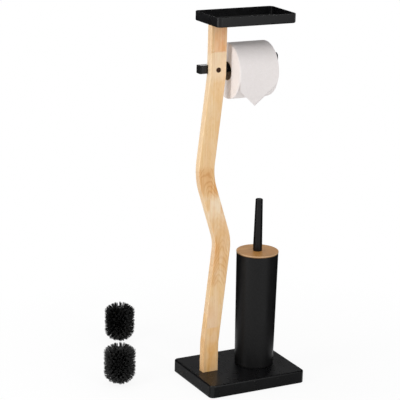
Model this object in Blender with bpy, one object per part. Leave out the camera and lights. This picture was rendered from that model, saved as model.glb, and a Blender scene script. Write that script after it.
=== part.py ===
"""Toilet butler stand: a wavy wooden post on a flat steel base, with a tray, a toilet roll on a square bar,
a brush in a tapered cup and two spare brush heads on the floor beside it.

Metres, +Z up. The origin is on the floor, under the middle of the base. +X runs along the base's long side,
from the post towards the cup, and -Y faces the user.
"""

import math
import random

import bmesh
import bpy
from mathutils import Matrix, Vector

# Fits shared by all the pieces
GAP = 0.0003
CUT_OVERRUN = 0.002
MERGE_DISTANCE = 0.000001

# Base: an inverted pan over a weight board, on a non-slip underlay
BASE_LENGTH = 0.2374
BASE_DEPTH = 0.186
BASE_HEIGHT = 0.0292
BASE_CORNER_RADIUS = 0.011
BASE_SHEET = 0.0015
BASE_BEND_RADIUS = 0.0012
BASE_SKIRT_CLEARANCE = 0.001
UNDERLAY_THICKNESS = 0.002
UNDERLAY_MARGIN = 0.0015

# Post: a board of one width, cut to a wave
POST_END_INSET = 0.0407
POST_Y = -0.0025
POST_WIDTH = 0.0375
POST_THICKNESS = 0.018
POST_LENGTH = 0.7811
POST_SWING = 0.0242
POST_EDGE_RADIUS = 0.0014
POST_LOW_BEND_SHARE = 0.0859
POST_CREST_SHARE = 0.3852
POST_HOLLOW_SHARE = 0.5759
POST_HIGH_BEND_SHARE = 0.8588
POST_LOW_BEND_RADIUS = 0.06
POST_CREST_RADIUS = 0.1
POST_HOLLOW_RADIUS = 0.15
POST_HIGH_BEND_RADIUS = 0.1

# Screws that hold the post to the base, from below
POST_SCREW_SPACING = 0.018
POST_SCREW_RADIUS = 0.0025
POST_SCREW_LENGTH = 0.055
POST_SCREW_HEAD_RADIUS = 0.0045
POST_SCREW_HEAD_HEIGHT = 0.003
POST_SCREW_WELL_DEPTH = 0.008
POST_SCREW_WELL_MARGIN = 0.001
WASHER_RADIUS = 0.0058
WASHER_THICKNESS = 0.001

# Tray on top of the post
TRAY_LENGTH = 0.19
TRAY_DEPTH = 0.11
TRAY_HEIGHT = 0.0208
TRAY_CORNER_RADIUS = 0.01
TRAY_SHEET = 0.0018
TRAY_BEND_RADIUS = 0.0012
TRAY_LEFT_REACH = 0.0287
TRAY_SCREW_SPACING = 0.018
TRAY_SCREW_RADIUS = 0.002
TRAY_SCREW_LENGTH = 0.028
TRAY_SCREW_HEAD_RADIUS = 0.0038
TRAY_SCREW_HEAD_HEIGHT = 0.0022

# Square bar let into the back of the post
BAR_SIZE = 0.018
BAR_WALL = 0.0015
BAR_CORNER_RADIUS = 0.0016
BAR_INNER_CORNER_SHARE = 0.25
BAR_DROP = 0.0982
BAR_LEFT_REACH = 0.0352
BAR_RIGHT_REACH = 0.1485
HOUSING_DEPTH = 0.006
CAP_THICKNESS = 0.002
CAP_EDGE_RADIUS = 0.0007
CAP_SPIGOT_LENGTH = 0.009
STOP_THICKNESS = 0.003
STOP_RISE = 0.016
STOP_SPIGOT_LENGTH = 0.012

# Screw through the front of the post, and the nut inside the bar
BAR_SCREW_RADIUS = 0.0022
BAR_SCREW_HEAD_RADIUS = 0.0055
BAR_SCREW_HEAD_HEIGHT = 0.0026
BAR_SCREW_END_SPACE = 0.002
BAR_NUT_THICKNESS = 0.004
BAR_NUT_SIDE_CLEARANCE = 0.0006

# Toilet roll on the bar
CORE_RADIUS = 0.019
CORE_WALL = 0.0012
ROLL_RADIUS = 0.0611
ROLL_LENGTH = 0.0945
ROLL_POST_SPACE = 0.0127
TAIL_THICKNESS = 0.0008
TAIL_LIFT = 0.0003
TAIL_TIP_DROP = 0.0647
TAIL_LEFT_DROP = 0.037
TAIL_RIGHT_DROP = 0.031
TAIL_TIP_PLACE_SHARE = 0.404

# Brush cup, its liner and its foot ring
CUP_POST_SPACE = 0.02685
CUP_Y = 0.0
CUP_TOP_RADIUS = 0.0469
CUP_BOTTOM_RADIUS = 0.0434
CUP_HEIGHT = 0.2596
CUP_SHEET = 0.001
CUP_EDGE_RADIUS = 0.0008
CUP_RECESS = 0.0022
FOOT_RING_STAND_OUT = 0.0012
FOOT_RING_WIDTH = 0.005
LINER_WALL = 0.0012
LINER_HEIGHT = 0.2
LINER_CLEARANCE = 0.0006

# Lid, and what clamps it
LID_THICKNESS = 0.004
LID_EDGE_RADIUS = 0.001
LID_OVERHANG = 0.0002
PLUG_PLATE = 0.002
PLUG_SKIRT_DEPTH = 0.009
PLUG_WALL = 0.0015
PLUG_CLEARANCE = 0.0008
LID_NUT_RADIUS = 0.0062
LID_NUT_HEIGHT = 0.005

# Handle and rod
HANDLE_TOP_RADIUS = 0.0081
HANDLE_BOTTOM_RADIUS = 0.0103
HANDLE_LENGTH = 0.1189
HANDLE_BEVEL = 0.0012
HANDLE_SOCKET_DEPTH = 0.015
ROD_RADIUS = 0.004
ROD_THREAD_RADIUS = 0.0025
ROD_END_SPACE = 0.001

# Brush head, with heights measured up from its lowest bristles
HEAD_FLOOR_CLEARANCE = 0.014
HEAD_WALL_CLEARANCE = 0.0038
HEAD_HEIGHT = 0.0935
HEAD_DOME_HEIGHT = 0.0287
HEAD_SHOULDER_DROP = 0.0115
HEAD_SHOULDER_INSET = 0.018
HEAD_TRIM = 0.0005
SLEEVE_RADIUS = 0.011
SLEEVE_WALL = 0.0018
SLEEVE_BOTTOM = 0.012
SLEEVE_TOP = 0.078
COLLAR_RADIUS = 0.0098
COLLAR_HEIGHT = 0.008
HEAD_SOCKET_DEPTH = 0.016
BRISTLE_TIP_WIDTH = 0.003
BRISTLE_LENGTH_SPREAD = 0.003
BRISTLE_FIRST_SHARE = 0.1
BRISTLE_SEED = 5
COLUMNS_AROUND = 16
SIDE_ROWS = 8
DOME_ROWS = 3

# Places of the two spare heads on the floor
SPARE_1_BASE_SPACE = 0.1053
SPARE_1_Y = 0.0745
SPARE_2_STEP_X = 0.1126
SPARE_2_STEP_Y = 0.2445

# Shares of small features
SCREW_POINT_SHARE = 1.6
SCREW_CROWN_SHARE = 0.62
SCREW_RIM_SHARE = 0.12
SOCKET_RADIUS_SHARE = 0.45
SOCKET_DEPTH_SHARE = 0.6

# Smoothness of the round shapes
ROUND_SIDES = 48
SMALL_SIDES = 16
HEX_SIDES = 6
CORNER_STEPS = 5
BEND_STEPS = 3
ARC_STEPS = 6
SHARP_ANGLE = math.radians(35)

# Places, worked out from the sizes above
POST_X = POST_END_INSET - BASE_LENGTH / 2
POST_BOTTOM = BASE_HEIGHT + GAP
POST_TOP = POST_BOTTOM + POST_LENGTH
POST_FRONT = POST_Y - POST_THICKNESS / 2
POST_BACK = POST_Y + POST_THICKNESS / 2
TRAY_BOTTOM = POST_TOP + GAP
TRAY_FLOOR = TRAY_BOTTOM + TRAY_SHEET
TRAY_X = POST_X - TRAY_LEFT_REACH + TRAY_LENGTH / 2
BAR_Z = POST_TOP - BAR_DROP
BAR_Y = POST_BACK - HOUSING_DEPTH + GAP + BAR_SIZE / 2
BAR_LEFT = POST_X - BAR_LEFT_REACH
BAR_RIGHT = POST_X + BAR_RIGHT_REACH
ROLL_LEFT = POST_X + POST_WIDTH / 2 + ROLL_POST_SPACE
ROLL_X = ROLL_LEFT + ROLL_LENGTH / 2
BAR_CORNER_PLACE = BAR_SIZE / 2 - BAR_CORNER_RADIUS
HANG_RADIUS = CORE_RADIUS - BAR_CORNER_RADIUS - GAP
ROLL_Z = BAR_Z + BAR_CORNER_PLACE - math.sqrt(HANG_RADIUS ** 2 - BAR_CORNER_PLACE ** 2)
CUP_X = POST_X + POST_WIDTH / 2 + POST_SWING + CUP_POST_SPACE + CUP_TOP_RADIUS
CUP_BOTTOM = BASE_HEIGHT + GAP + FOOT_RING_STAND_OUT
CUP_TOP = CUP_BOTTOM + CUP_HEIGHT
CUP_FLOOR = CUP_BOTTOM + CUP_RECESS + CUP_SHEET
LINER_BOTTOM = CUP_FLOOR + GAP
LID_BOTTOM = CUP_TOP + GAP
LID_TOP = LID_BOTTOM + LID_THICKNESS
PLUG_TOP = LID_BOTTOM - GAP
NUT_TOP = PLUG_TOP - PLUG_PLATE - GAP
NUT_BOTTOM = NUT_TOP - LID_NUT_HEIGHT
HANDLE_BOTTOM = LID_TOP + GAP
HEAD_BOTTOM = LINER_BOTTOM + LINER_WALL + HEAD_FLOOR_CLEARANCE
HEAD_TOP = HEAD_BOTTOM + SLEEVE_TOP + GAP + COLLAR_HEIGHT
THREAD_HOLE_RADIUS = ROD_THREAD_RADIUS + GAP
HEAD_RADIUS = CUP_BOTTOM_RADIUS - CUP_SHEET - LINER_CLEARANCE - LINER_WALL - HEAD_WALL_CLEARANCE
SPARE_1_X = -BASE_LENGTH / 2 - SPARE_1_BASE_SPACE - HEAD_RADIUS

# Colours, roughness and metallic value of each finish
FINISHES = {
    "powder_black": ((0.018, 0.018, 0.019), 0.42, 0.0),
    "matt_black": ((0.022, 0.022, 0.023), 0.6, 0.0),
    "black_plastic": ((0.02, 0.02, 0.021), 0.38, 0.0),
    "rubber": ((0.03, 0.03, 0.03), 0.85, 0.0),
    "rubberwood": ((0.78, 0.56, 0.33), 0.5, 0.0),
    "bamboo": ((0.52, 0.28, 0.11), 0.45, 0.0),
    "chipboard": ((0.42, 0.31, 0.2), 0.9, 0.0),
    "steel": ((0.55, 0.55, 0.56), 0.35, 1.0),
    "cardboard": ((0.42, 0.3, 0.19), 0.9, 0.0),
    "paper": ((0.82, 0.8, 0.78), 0.95, 0.0),
    "bristle": ((0.008, 0.008, 0.009), 0.5, 0.0),
}


# Tools for making the shapes

def clear_scene():
    """Start from an empty scene."""
    for leftover in list(bpy.data.objects):
        bpy.data.objects.remove(leftover, do_unlink=True)


def part_material(name, finish):
    """Principled material of one part, in one of the finishes."""
    colour, roughness, metallic = FINISHES[finish]
    material = bpy.data.materials.new(name)
    material.use_nodes = True
    shader = material.node_tree.nodes["Principled BSDF"]
    shader.inputs["Base Color"].default_value = (*colour, 1.0)
    shader.inputs["Roughness"].default_value = roughness
    shader.inputs["Metallic"].default_value = metallic
    material.diffuse_color = (*colour, 1.0)
    return material


def add_object(name, body, parent=None, location=(0, 0, 0)):
    """Object made from a body, shaded smooth between its sharp edges."""
    mesh = bpy.data.meshes.new(name)
    body.to_mesh(mesh)
    body.free()
    mesh.shade_smooth()
    mesh.set_sharp_from_angle(angle=SHARP_ANGLE)
    return link_object(name, mesh, parent, location)


def link_object(name, mesh, parent, location):
    """Object of a mesh, placed under its parent."""
    made = bpy.data.objects.new(name, mesh)
    made.location = location
    made.parent = parent
    bpy.context.scene.collection.objects.link(made)
    return made


def add_part(name, body, finish, parent=None, location=(0, 0, 0)):
    """One physical piece with its own material."""
    part = add_object(name, body, parent, location)
    part.data.materials.append(part_material(name, finish))
    return part


def add_place(name, location):
    """Empty that carries the pieces standing at one place."""
    place = link_object(name, None, None, location)
    place.empty_display_size = POST_THICKNESS
    return place


def cut(part, name, bodies):
    """Cut the bodies out of a part with one Boolean."""
    joined = bmesh.new()
    for body in bodies:
        mesh = bpy.data.meshes.new(name)
        body.to_mesh(mesh)
        body.free()
        joined.from_mesh(mesh)
        bpy.data.meshes.remove(mesh)
    cutter = add_object(name, joined, part.parent, part.location)
    cutter.hide_render = True
    cutter.display_type = "WIRE"
    boolean = part.modifiers.new(name, "BOOLEAN")
    boolean.operation = "DIFFERENCE"
    boolean.solver = "EXACT"
    boolean.object = cutter


def moved(body, x=0, y=0, z=0):
    """The body, shifted."""
    bmesh.ops.translate(body, vec=(x, y, z), verts=body.verts)
    return body


def turned_over(body, degrees, axis):
    """The body, turned about one axis through zero."""
    bmesh.ops.transform(body, matrix=Matrix.Rotation(math.radians(degrees), 4, axis), verts=body.verts)
    return body


def rounded_rectangle(length, depth, radius, steps):
    """Outline of a rectangle with round corners, anticlockwise about zero."""
    points = []
    for quarter in range(4):
        side_x = 1 if quarter in (0, 3) else -1
        side_y = 1 if quarter in (0, 1) else -1
        for step in range(steps + 1):
            angle = math.pi / 2 * (quarter + step / steps)
            x = side_x * (length / 2 - radius) + radius * math.cos(angle)
            y = side_y * (depth / 2 - radius) + radius * math.sin(angle)
            points.append((x, y))
    return points


def loft(rings, endless=False):
    """Closed body through rings of one point count: capped at both ends, or joined into an endless tube."""
    body = bmesh.new()
    loops = [[body.verts.new(point) for point in ring] for ring in rings]
    pairs = list(zip(loops, loops[1:]))
    if endless:
        pairs.append((loops[-1], loops[0]))
    else:
        body.faces.new(list(reversed(loops[0])))
        body.faces.new(loops[-1])
    for lower, upper in pairs:
        for index, corner in enumerate(lower):
            following = (index + 1) % len(lower)
            body.faces.new((corner, lower[following], upper[following], upper[index]))
    bmesh.ops.recalc_face_normals(body, faces=body.faces)
    return body


def slab(length, depth, height, corner):
    """Flat board with round corners, standing on zero."""
    outline = rounded_rectangle(length, depth, corner, CORNER_STEPS)
    return loft([[(x, y, z) for x, y in outline] for z in (0, height)])


def pan(length, depth, height, corner, sheet, bend):
    """Pressed sheet pan with its floor on zero and its rim up."""
    outer = sheet + bend
    quarter = [math.pi / 2 * step / BEND_STEPS for step in range(BEND_STEPS + 1)]
    profile = [(outer - outer * math.sin(a), outer - outer * math.cos(a)) for a in quarter]
    rim = sheet / 2
    profile += [(rim - rim * math.cos(2 * a), height - rim + rim * math.sin(2 * a)) for a in quarter]
    profile += [(outer - bend * math.cos(a), outer - bend * math.sin(a)) for a in quarter]
    rings = []
    for inset, z in profile:
        outline = rounded_rectangle(length - 2 * inset, depth - 2 * inset, corner - inset, CORNER_STEPS)
        rings.append([(x, y, z) for x, y in outline])
    return loft(rings)


def turned(profile, sides, endless=False):
    """Body turned about Z from a profile of radius and height; endless joins its last point to its first."""
    body = bmesh.new()
    points = [body.verts.new((radius, 0, height)) for radius, height in profile]
    edges = [body.edges.new(pair) for pair in zip(points, points[1:])]
    if endless:
        edges.append(body.edges.new((points[-1], points[0])))
    bmesh.ops.spin(
        body, geom=points + edges, cent=(0, 0, 0), axis=(0, 0, 1), angle=math.tau, steps=sides, use_merge=True
    )
    bmesh.ops.remove_doubles(body, verts=body.verts, dist=MERGE_DISTANCE)
    bmesh.ops.recalc_face_normals(body, faces=body.faces)
    return body


def rod_cutter(radius, bottom, top, sides=SMALL_SIDES):
    """Round cutter between two heights."""
    return turned([(0, bottom), (radius, bottom), (radius, top), (0, top)], sides)


def block(low, high):
    """Box between two corners."""
    body = bmesh.new()
    bmesh.ops.create_cube(body, size=1)
    size = Vector(high) - Vector(low)
    bmesh.ops.scale(body, vec=size, verts=body.verts)
    bmesh.ops.translate(body, vec=Vector(low) + size / 2, verts=body.verts)
    return body


def pan_head_screw(head_radius, head_height, radius, length):
    """Pan head screw that seats on zero, with its point down."""
    return turned([
        (0, -length),
        (radius, -length + radius * SCREW_POINT_SHARE),
        (radius, 0),
        (head_radius, 0),
        (head_radius, head_height * SCREW_CROWN_SHARE),
        (head_radius * SCREW_CROWN_SHARE, head_height),
        (0, head_height),
    ], SMALL_SIDES)


def countersunk_screw(head_radius, head_height, radius, length, offset=0):
    """Countersunk screw with its top on zero and its point down; an offset makes the hole that it fits."""
    rim = head_height * SCREW_RIM_SHARE
    top = CUT_OVERRUN if offset else 0
    return turned([
        (0, -length - offset),
        (radius + offset, -length - offset),
        (radius + offset, -head_height),
        (head_radius + offset, -rim),
        (head_radius + offset, top),
        (0, top),
    ], SMALL_SIDES)


def socket_cutter(head_radius, head_height, top):
    """Six-sided socket in a screw head."""
    bottom = top - head_height * SOCKET_DEPTH_SHARE
    return rod_cutter(head_radius * SOCKET_RADIUS_SHARE, bottom, top + CUT_OVERRUN, HEX_SIDES)


# Base

def make_base():
    """Shell, weight board and underlay, with the holes for the post's two screws."""
    board_length = BASE_LENGTH - 2 * (BASE_SHEET + GAP)
    board_depth = BASE_DEPTH - 2 * (BASE_SHEET + GAP)
    board_corner = BASE_CORNER_RADIUS - BASE_SHEET - GAP
    board_bottom = UNDERLAY_THICKNESS + GAP
    board_top = BASE_HEIGHT - BASE_SHEET - GAP
    shell_height = BASE_HEIGHT - BASE_SKIRT_CLEARANCE
    shell_body = pan(BASE_LENGTH, BASE_DEPTH, shell_height, BASE_CORNER_RADIUS, BASE_SHEET, BASE_BEND_RADIUS)
    shell = add_part("base_shell", moved(turned_over(shell_body, 180, "X"), z=BASE_HEIGHT), "powder_black")

    board_body = board_slab(board_length, board_depth, board_top - board_bottom, board_corner)
    board = add_part("base_board", moved(board_body, z=board_bottom), "chipboard")

    margin = UNDERLAY_MARGIN
    underlay_body = slab(
        board_length - 2 * margin, board_depth - 2 * margin, UNDERLAY_THICKNESS, board_corner - margin
    )
    add_part("base_underlay", underlay_body, "rubber")

    hole = POST_SCREW_RADIUS + GAP
    well = WASHER_RADIUS + POST_SCREW_WELL_MARGIN
    well_top = board_bottom + POST_SCREW_WELL_DEPTH
    shell_holes = []
    board_holes = []
    for x in post_screw_places():
        shell_hole = rod_cutter(hole, board_top, BASE_HEIGHT + CUT_OVERRUN)
        shell_holes.append(moved(shell_hole, x, POST_Y))
        stepped = turned([
            (0, board_bottom - CUT_OVERRUN),
            (well, board_bottom - CUT_OVERRUN),
            (well, well_top),
            (hole, well_top),
            (hole, board_top + CUT_OVERRUN),
            (0, board_top + CUT_OVERRUN),
        ], SMALL_SIDES)
        board_holes.append(moved(stepped, x, POST_Y))
    cut(shell, "base_shell_holes", shell_holes)
    cut(board, "base_board_holes", board_holes)
    return well_top


def board_slab(length, depth, height, corner):
    """Weight board whose upper edge clears the shell's inner bend."""
    rings = []
    for inset, z in ((0, 0), (0, height - BASE_BEND_RADIUS), (BASE_BEND_RADIUS, height)):
        outline = rounded_rectangle(length - 2 * inset, depth - 2 * inset, corner - inset, CORNER_STEPS)
        rings.append([(x, y, z) for x, y in outline])
    return loft(rings)


def post_screw_places():
    """X of the two screws under the post."""
    return (POST_X - POST_SCREW_SPACING / 2, POST_X + POST_SCREW_SPACING / 2)


def make_post_screws(well_top):
    """Two screws up into the post, each on a washer in its well."""
    washer_top = well_top - GAP
    seat = washer_top - WASHER_THICKNESS - GAP
    for number, x in enumerate(post_screw_places(), 1):
        hole = POST_SCREW_RADIUS + GAP
        washer = turned([
            (hole, 0),
            (WASHER_RADIUS, 0),
            (WASHER_RADIUS, WASHER_THICKNESS),
            (hole, WASHER_THICKNESS),
        ], SMALL_SIDES, endless=True)
        moved(washer, x, POST_Y, washer_top - WASHER_THICKNESS)
        add_part(f"post_washer_{number}", washer, "steel")

        body = pan_head_screw(
            POST_SCREW_HEAD_RADIUS, POST_SCREW_HEAD_HEIGHT, POST_SCREW_RADIUS, POST_SCREW_LENGTH
        )
        moved(turned_over(body, 180, "X"), x, POST_Y, seat)
        screw = add_part(f"post_screw_{number}", body, "steel")
        socket = socket_cutter(POST_SCREW_HEAD_RADIUS, POST_SCREW_HEAD_HEIGHT, POST_SCREW_HEAD_HEIGHT)
        moved(turned_over(socket, 180, "X"), x, POST_Y, seat)
        cut(screw, f"post_screw_{number}_socket", [socket])
    return seat


# Post

def filleted_path(points, radii):
    """Places and directions along a line through the points, with an arc at each inner point."""
    first = (points[1] - points[0]).normalized()
    path = [(points[0], first)]
    for before, corner, after, radius in zip(points, points[1:], points[2:], radii):
        into = (corner - before).normalized()
        out = (after - corner).normalized()
        turn = math.atan2(into.x * out.y - into.y * out.x, into.dot(out))
        side = math.copysign(1, turn)
        start = corner - into * radius * math.tan(abs(turn) / 2)
        centre = start + Vector((-into.y, into.x)) * radius * side
        for step in range(ARC_STEPS + 1):
            spin = Matrix.Rotation(turn * step / ARC_STEPS, 2)
            path.append((centre + spin @ (start - centre), spin @ into))
    last = (points[-1] - points[-2]).normalized()
    path.append((points[-1], last))
    return path


def make_post(screw_seat):
    """Wavy board with the housing for the bar and the screw holes."""
    def height(share):
        return POST_BOTTOM + POST_LENGTH * share

    line = [
        Vector((POST_X, POST_BOTTOM)),
        Vector((POST_X, height(POST_LOW_BEND_SHARE))),
        Vector((POST_X + POST_SWING, height(POST_CREST_SHARE))),
        Vector((POST_X - POST_SWING, height(POST_HOLLOW_SHARE))),
        Vector((POST_X, height(POST_HIGH_BEND_SHARE))),
        Vector((POST_X, POST_TOP)),
    ]
    radii = (POST_LOW_BEND_RADIUS, POST_CREST_RADIUS, POST_HOLLOW_RADIUS, POST_HIGH_BEND_RADIUS)
    section = rounded_rectangle(POST_WIDTH, POST_THICKNESS, POST_EDGE_RADIUS, 2)
    rings = []
    for place, along in filleted_path(line, radii):
        across = Vector((along.y, -along.x))
        ring = []
        for u, v in section:
            edge = place + across * u
            ring.append((edge.x, POST_Y + v, edge.y))
        rings.append(ring)
    post = add_part("post", loft(rings), "rubberwood")

    half = BAR_SIZE / 2 + GAP
    housing = block(
        (POST_X - POST_WIDTH, POST_BACK - HOUSING_DEPTH, BAR_Z - half),
        (POST_X + POST_WIDTH, POST_BACK + CUT_OVERRUN, BAR_Z + half),
    )
    bar_hole = countersunk_screw(
        BAR_SCREW_HEAD_RADIUS, BAR_SCREW_HEAD_HEIGHT, BAR_SCREW_RADIUS, POST_THICKNESS, GAP
    )
    moved(turned_over(bar_hole, 90, "X"), POST_X, POST_FRONT, BAR_Z)
    cut(post, "post_housing", [housing])
    cut(post, "post_bar_hole", [bar_hole])

    holes = []
    screw_end = screw_seat + POST_SCREW_LENGTH
    for x in post_screw_places():
        hole = rod_cutter(POST_SCREW_RADIUS + GAP, POST_BOTTOM - CUT_OVERRUN, screw_end + GAP)
        holes.append(moved(hole, x, POST_Y))
    for x in tray_screw_places():
        hole = rod_cutter(TRAY_SCREW_RADIUS + GAP, TRAY_FLOOR - TRAY_SCREW_LENGTH, POST_TOP + CUT_OVERRUN)
        holes.append(moved(hole, x, POST_Y))
    cut(post, "post_screw_holes", holes)


# Tray

def tray_screw_places():
    """X of the two screws through the tray."""
    return (POST_X - TRAY_SCREW_SPACING / 2, POST_X + TRAY_SCREW_SPACING / 2)


def make_tray():
    """Shallow pan screwed down on the end of the post."""
    body = pan(TRAY_LENGTH, TRAY_DEPTH, TRAY_HEIGHT, TRAY_CORNER_RADIUS, TRAY_SHEET, TRAY_BEND_RADIUS)
    tray = add_part("tray", moved(body, TRAY_X, POST_Y, TRAY_BOTTOM), "powder_black")
    holes = []
    for number, x in enumerate(tray_screw_places(), 1):
        hole = rod_cutter(TRAY_SCREW_RADIUS + GAP, TRAY_BOTTOM - CUT_OVERRUN, TRAY_FLOOR + CUT_OVERRUN)
        holes.append(moved(hole, x, POST_Y))
        body = pan_head_screw(
            TRAY_SCREW_HEAD_RADIUS, TRAY_SCREW_HEAD_HEIGHT, TRAY_SCREW_RADIUS, TRAY_SCREW_LENGTH
        )
        screw = add_part(f"tray_screw_{number}", moved(body, x, POST_Y, TRAY_FLOOR + GAP), "black_plastic")
        socket = socket_cutter(TRAY_SCREW_HEAD_RADIUS, TRAY_SCREW_HEAD_HEIGHT, TRAY_SCREW_HEAD_HEIGHT)
        cut(screw, f"tray_screw_{number}_socket", [moved(socket, x, POST_Y, TRAY_FLOOR + GAP)])
    cut(tray, "tray_holes", holes)


# Bar

def across_bar(outline, x):
    """Outline of width and height stood square to the bar at x."""
    return [(x, BAR_Y + u, BAR_Z + v) for u, v in outline]


def make_bar():
    """Square tube with a screw hole in its front wall."""
    outer = rounded_rectangle(BAR_SIZE, BAR_SIZE, BAR_CORNER_RADIUS, BEND_STEPS)
    bore = BAR_SIZE - 2 * BAR_WALL
    inner = rounded_rectangle(bore, bore, BAR_CORNER_RADIUS * BAR_INNER_CORNER_SHARE, BEND_STEPS)
    body = loft([
        across_bar(outer, BAR_LEFT),
        across_bar(outer, BAR_RIGHT),
        across_bar(inner, BAR_RIGHT),
        across_bar(inner, BAR_LEFT),
    ], endless=True)
    bar = add_part("holder_bar", body, "powder_black")
    hole = rod_cutter(BAR_SCREW_RADIUS + GAP, -CUT_OVERRUN, BAR_WALL + CUT_OVERRUN)
    moved(turned_over(hole, -90, "X"), POST_X, BAR_Y - BAR_SIZE / 2, BAR_Z)
    cut(bar, "holder_bar_hole", [hole])


def spigot_outline(shift=0):
    """Outline that slides into the bar's bore, shifted down from the bar's middle."""
    side = BAR_SIZE - 2 * BAR_WALL - 2 * GAP
    outline = rounded_rectangle(side, side, BAR_CORNER_RADIUS * BAR_INNER_CORNER_SHARE, BEND_STEPS)
    return [(u, v - shift) for u, v in outline]


def make_bar_ends():
    """Plug in the left end and upturned stop on the right end."""
    face = rounded_rectangle(
        BAR_SIZE - 2 * CAP_EDGE_RADIUS, BAR_SIZE - 2 * CAP_EDGE_RADIUS, BAR_CORNER_RADIUS, BEND_STEPS
    )
    rim = rounded_rectangle(BAR_SIZE, BAR_SIZE, BAR_CORNER_RADIUS, BEND_STEPS)
    plate = BAR_LEFT - GAP
    cap = loft([
        across_bar(face, plate - CAP_THICKNESS),
        across_bar(rim, plate - CAP_THICKNESS + CAP_EDGE_RADIUS),
        across_bar(rim, plate),
        across_bar(spigot_outline(), plate),
        across_bar(spigot_outline(), plate + CAP_SPIGOT_LENGTH),
    ])
    add_part("bar_end_cap", cap, "black_plastic")

    plate = BAR_RIGHT + GAP
    lift = STOP_RISE / 2
    tall = BAR_SIZE + STOP_RISE
    rim = rounded_rectangle(BAR_SIZE, tall, BAR_CORNER_RADIUS, BEND_STEPS)
    face = rounded_rectangle(
        BAR_SIZE - 2 * CAP_EDGE_RADIUS, tall - 2 * CAP_EDGE_RADIUS, BAR_CORNER_RADIUS, BEND_STEPS
    )
    stop = loft([
        across_bar(spigot_outline(lift), plate - STOP_SPIGOT_LENGTH),
        across_bar(spigot_outline(lift), plate),
        across_bar(rim, plate),
        across_bar(rim, plate + STOP_THICKNESS - CAP_EDGE_RADIUS),
        across_bar(face, plate + STOP_THICKNESS),
    ])
    add_part("bar_end_stop", moved(stop, z=lift), "powder_black")


def make_bar_fixing():
    """Countersunk screw from the front of the post and the square nut inside the bar."""
    bore = BAR_SIZE - 2 * BAR_WALL
    nut_front = BAR_Y - bore / 2 + GAP
    side = bore - 2 * BAR_NUT_SIDE_CLEARANCE
    nut_outline = rounded_rectangle(side, side, BAR_CORNER_RADIUS, CORNER_STEPS)
    outer = [(POST_X + u, nut_front, BAR_Z + v) for u, v in nut_outline]
    nut = add_part("bar_nut", loft([outer, [(x, y + BAR_NUT_THICKNESS, z) for x, y, z in outer]]), "steel")
    hole = rod_cutter(BAR_SCREW_RADIUS + GAP, -CUT_OVERRUN, BAR_NUT_THICKNESS + CUT_OVERRUN)
    moved(turned_over(hole, -90, "X"), POST_X, nut_front, BAR_Z)
    cut(nut, "bar_nut_hole", [hole])

    length = nut_front + BAR_NUT_THICKNESS + BAR_SCREW_END_SPACE - POST_FRONT
    body = countersunk_screw(BAR_SCREW_HEAD_RADIUS, BAR_SCREW_HEAD_HEIGHT, BAR_SCREW_RADIUS, length)
    moved(turned_over(body, 90, "X"), POST_X, POST_FRONT, BAR_Z)
    screw = add_part("bar_screw", body, "black_plastic")
    socket = socket_cutter(BAR_SCREW_HEAD_RADIUS, BAR_SCREW_HEAD_HEIGHT, 0)
    cut(screw, "bar_screw_socket", [moved(turned_over(socket, 90, "X"), POST_X, POST_FRONT, BAR_Z)])


# Toilet roll

def make_roll():
    """Cardboard core and wound paper, on the axis that the roll turns about."""
    place = add_place("roll_axis", (ROLL_X, BAR_Y, ROLL_Z))
    half = ROLL_LENGTH / 2
    core = turned([
        (CORE_RADIUS, -half),
        (CORE_RADIUS + CORE_WALL, -half),
        (CORE_RADIUS + CORE_WALL, half),
        (CORE_RADIUS, half),
    ], ROUND_SIDES, endless=True)
    add_part("roll_core", turned_over(core, 90, "Y"), "cardboard", place)

    bore = CORE_RADIUS + CORE_WALL + GAP
    paper = turned([
        (bore, -half),
        (ROLL_RADIUS, -half),
        (ROLL_RADIUS, half),
        (bore, half),
    ], ROUND_SIDES, endless=True)
    roll = add_part("toilet_roll", turned_over(paper, 90, "Y"), "paper", place)

    tip = -half + ROLL_LENGTH * TAIL_TIP_PLACE_SHARE
    outer = -ROLL_RADIUS - TAIL_LIFT
    outline = [
        (-half, 0),
        (-half, -TAIL_LEFT_DROP),
        (tip, -TAIL_TIP_DROP),
        (half, -TAIL_RIGHT_DROP),
        (half, 0),
    ]
    faces = (outer, outer + TAIL_LIFT + TAIL_THICKNESS)
    tail = add_object("toilet_roll_tail", loft([[(x, y, z) for x, z in outline] for y in faces]), place)
    tail.hide_render = True
    tail.display_type = "WIRE"
    union = roll.modifiers.new("tail", "BOOLEAN")
    union.operation = "UNION"
    union.solver = "EXACT"
    union.object = tail


# Brush cup

def cup_radius(height):
    """Outer radius of the tapered cup at a height above its lower edge."""
    return CUP_BOTTOM_RADIUS + (CUP_TOP_RADIUS - CUP_BOTTOM_RADIUS) * height / CUP_HEIGHT


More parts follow.
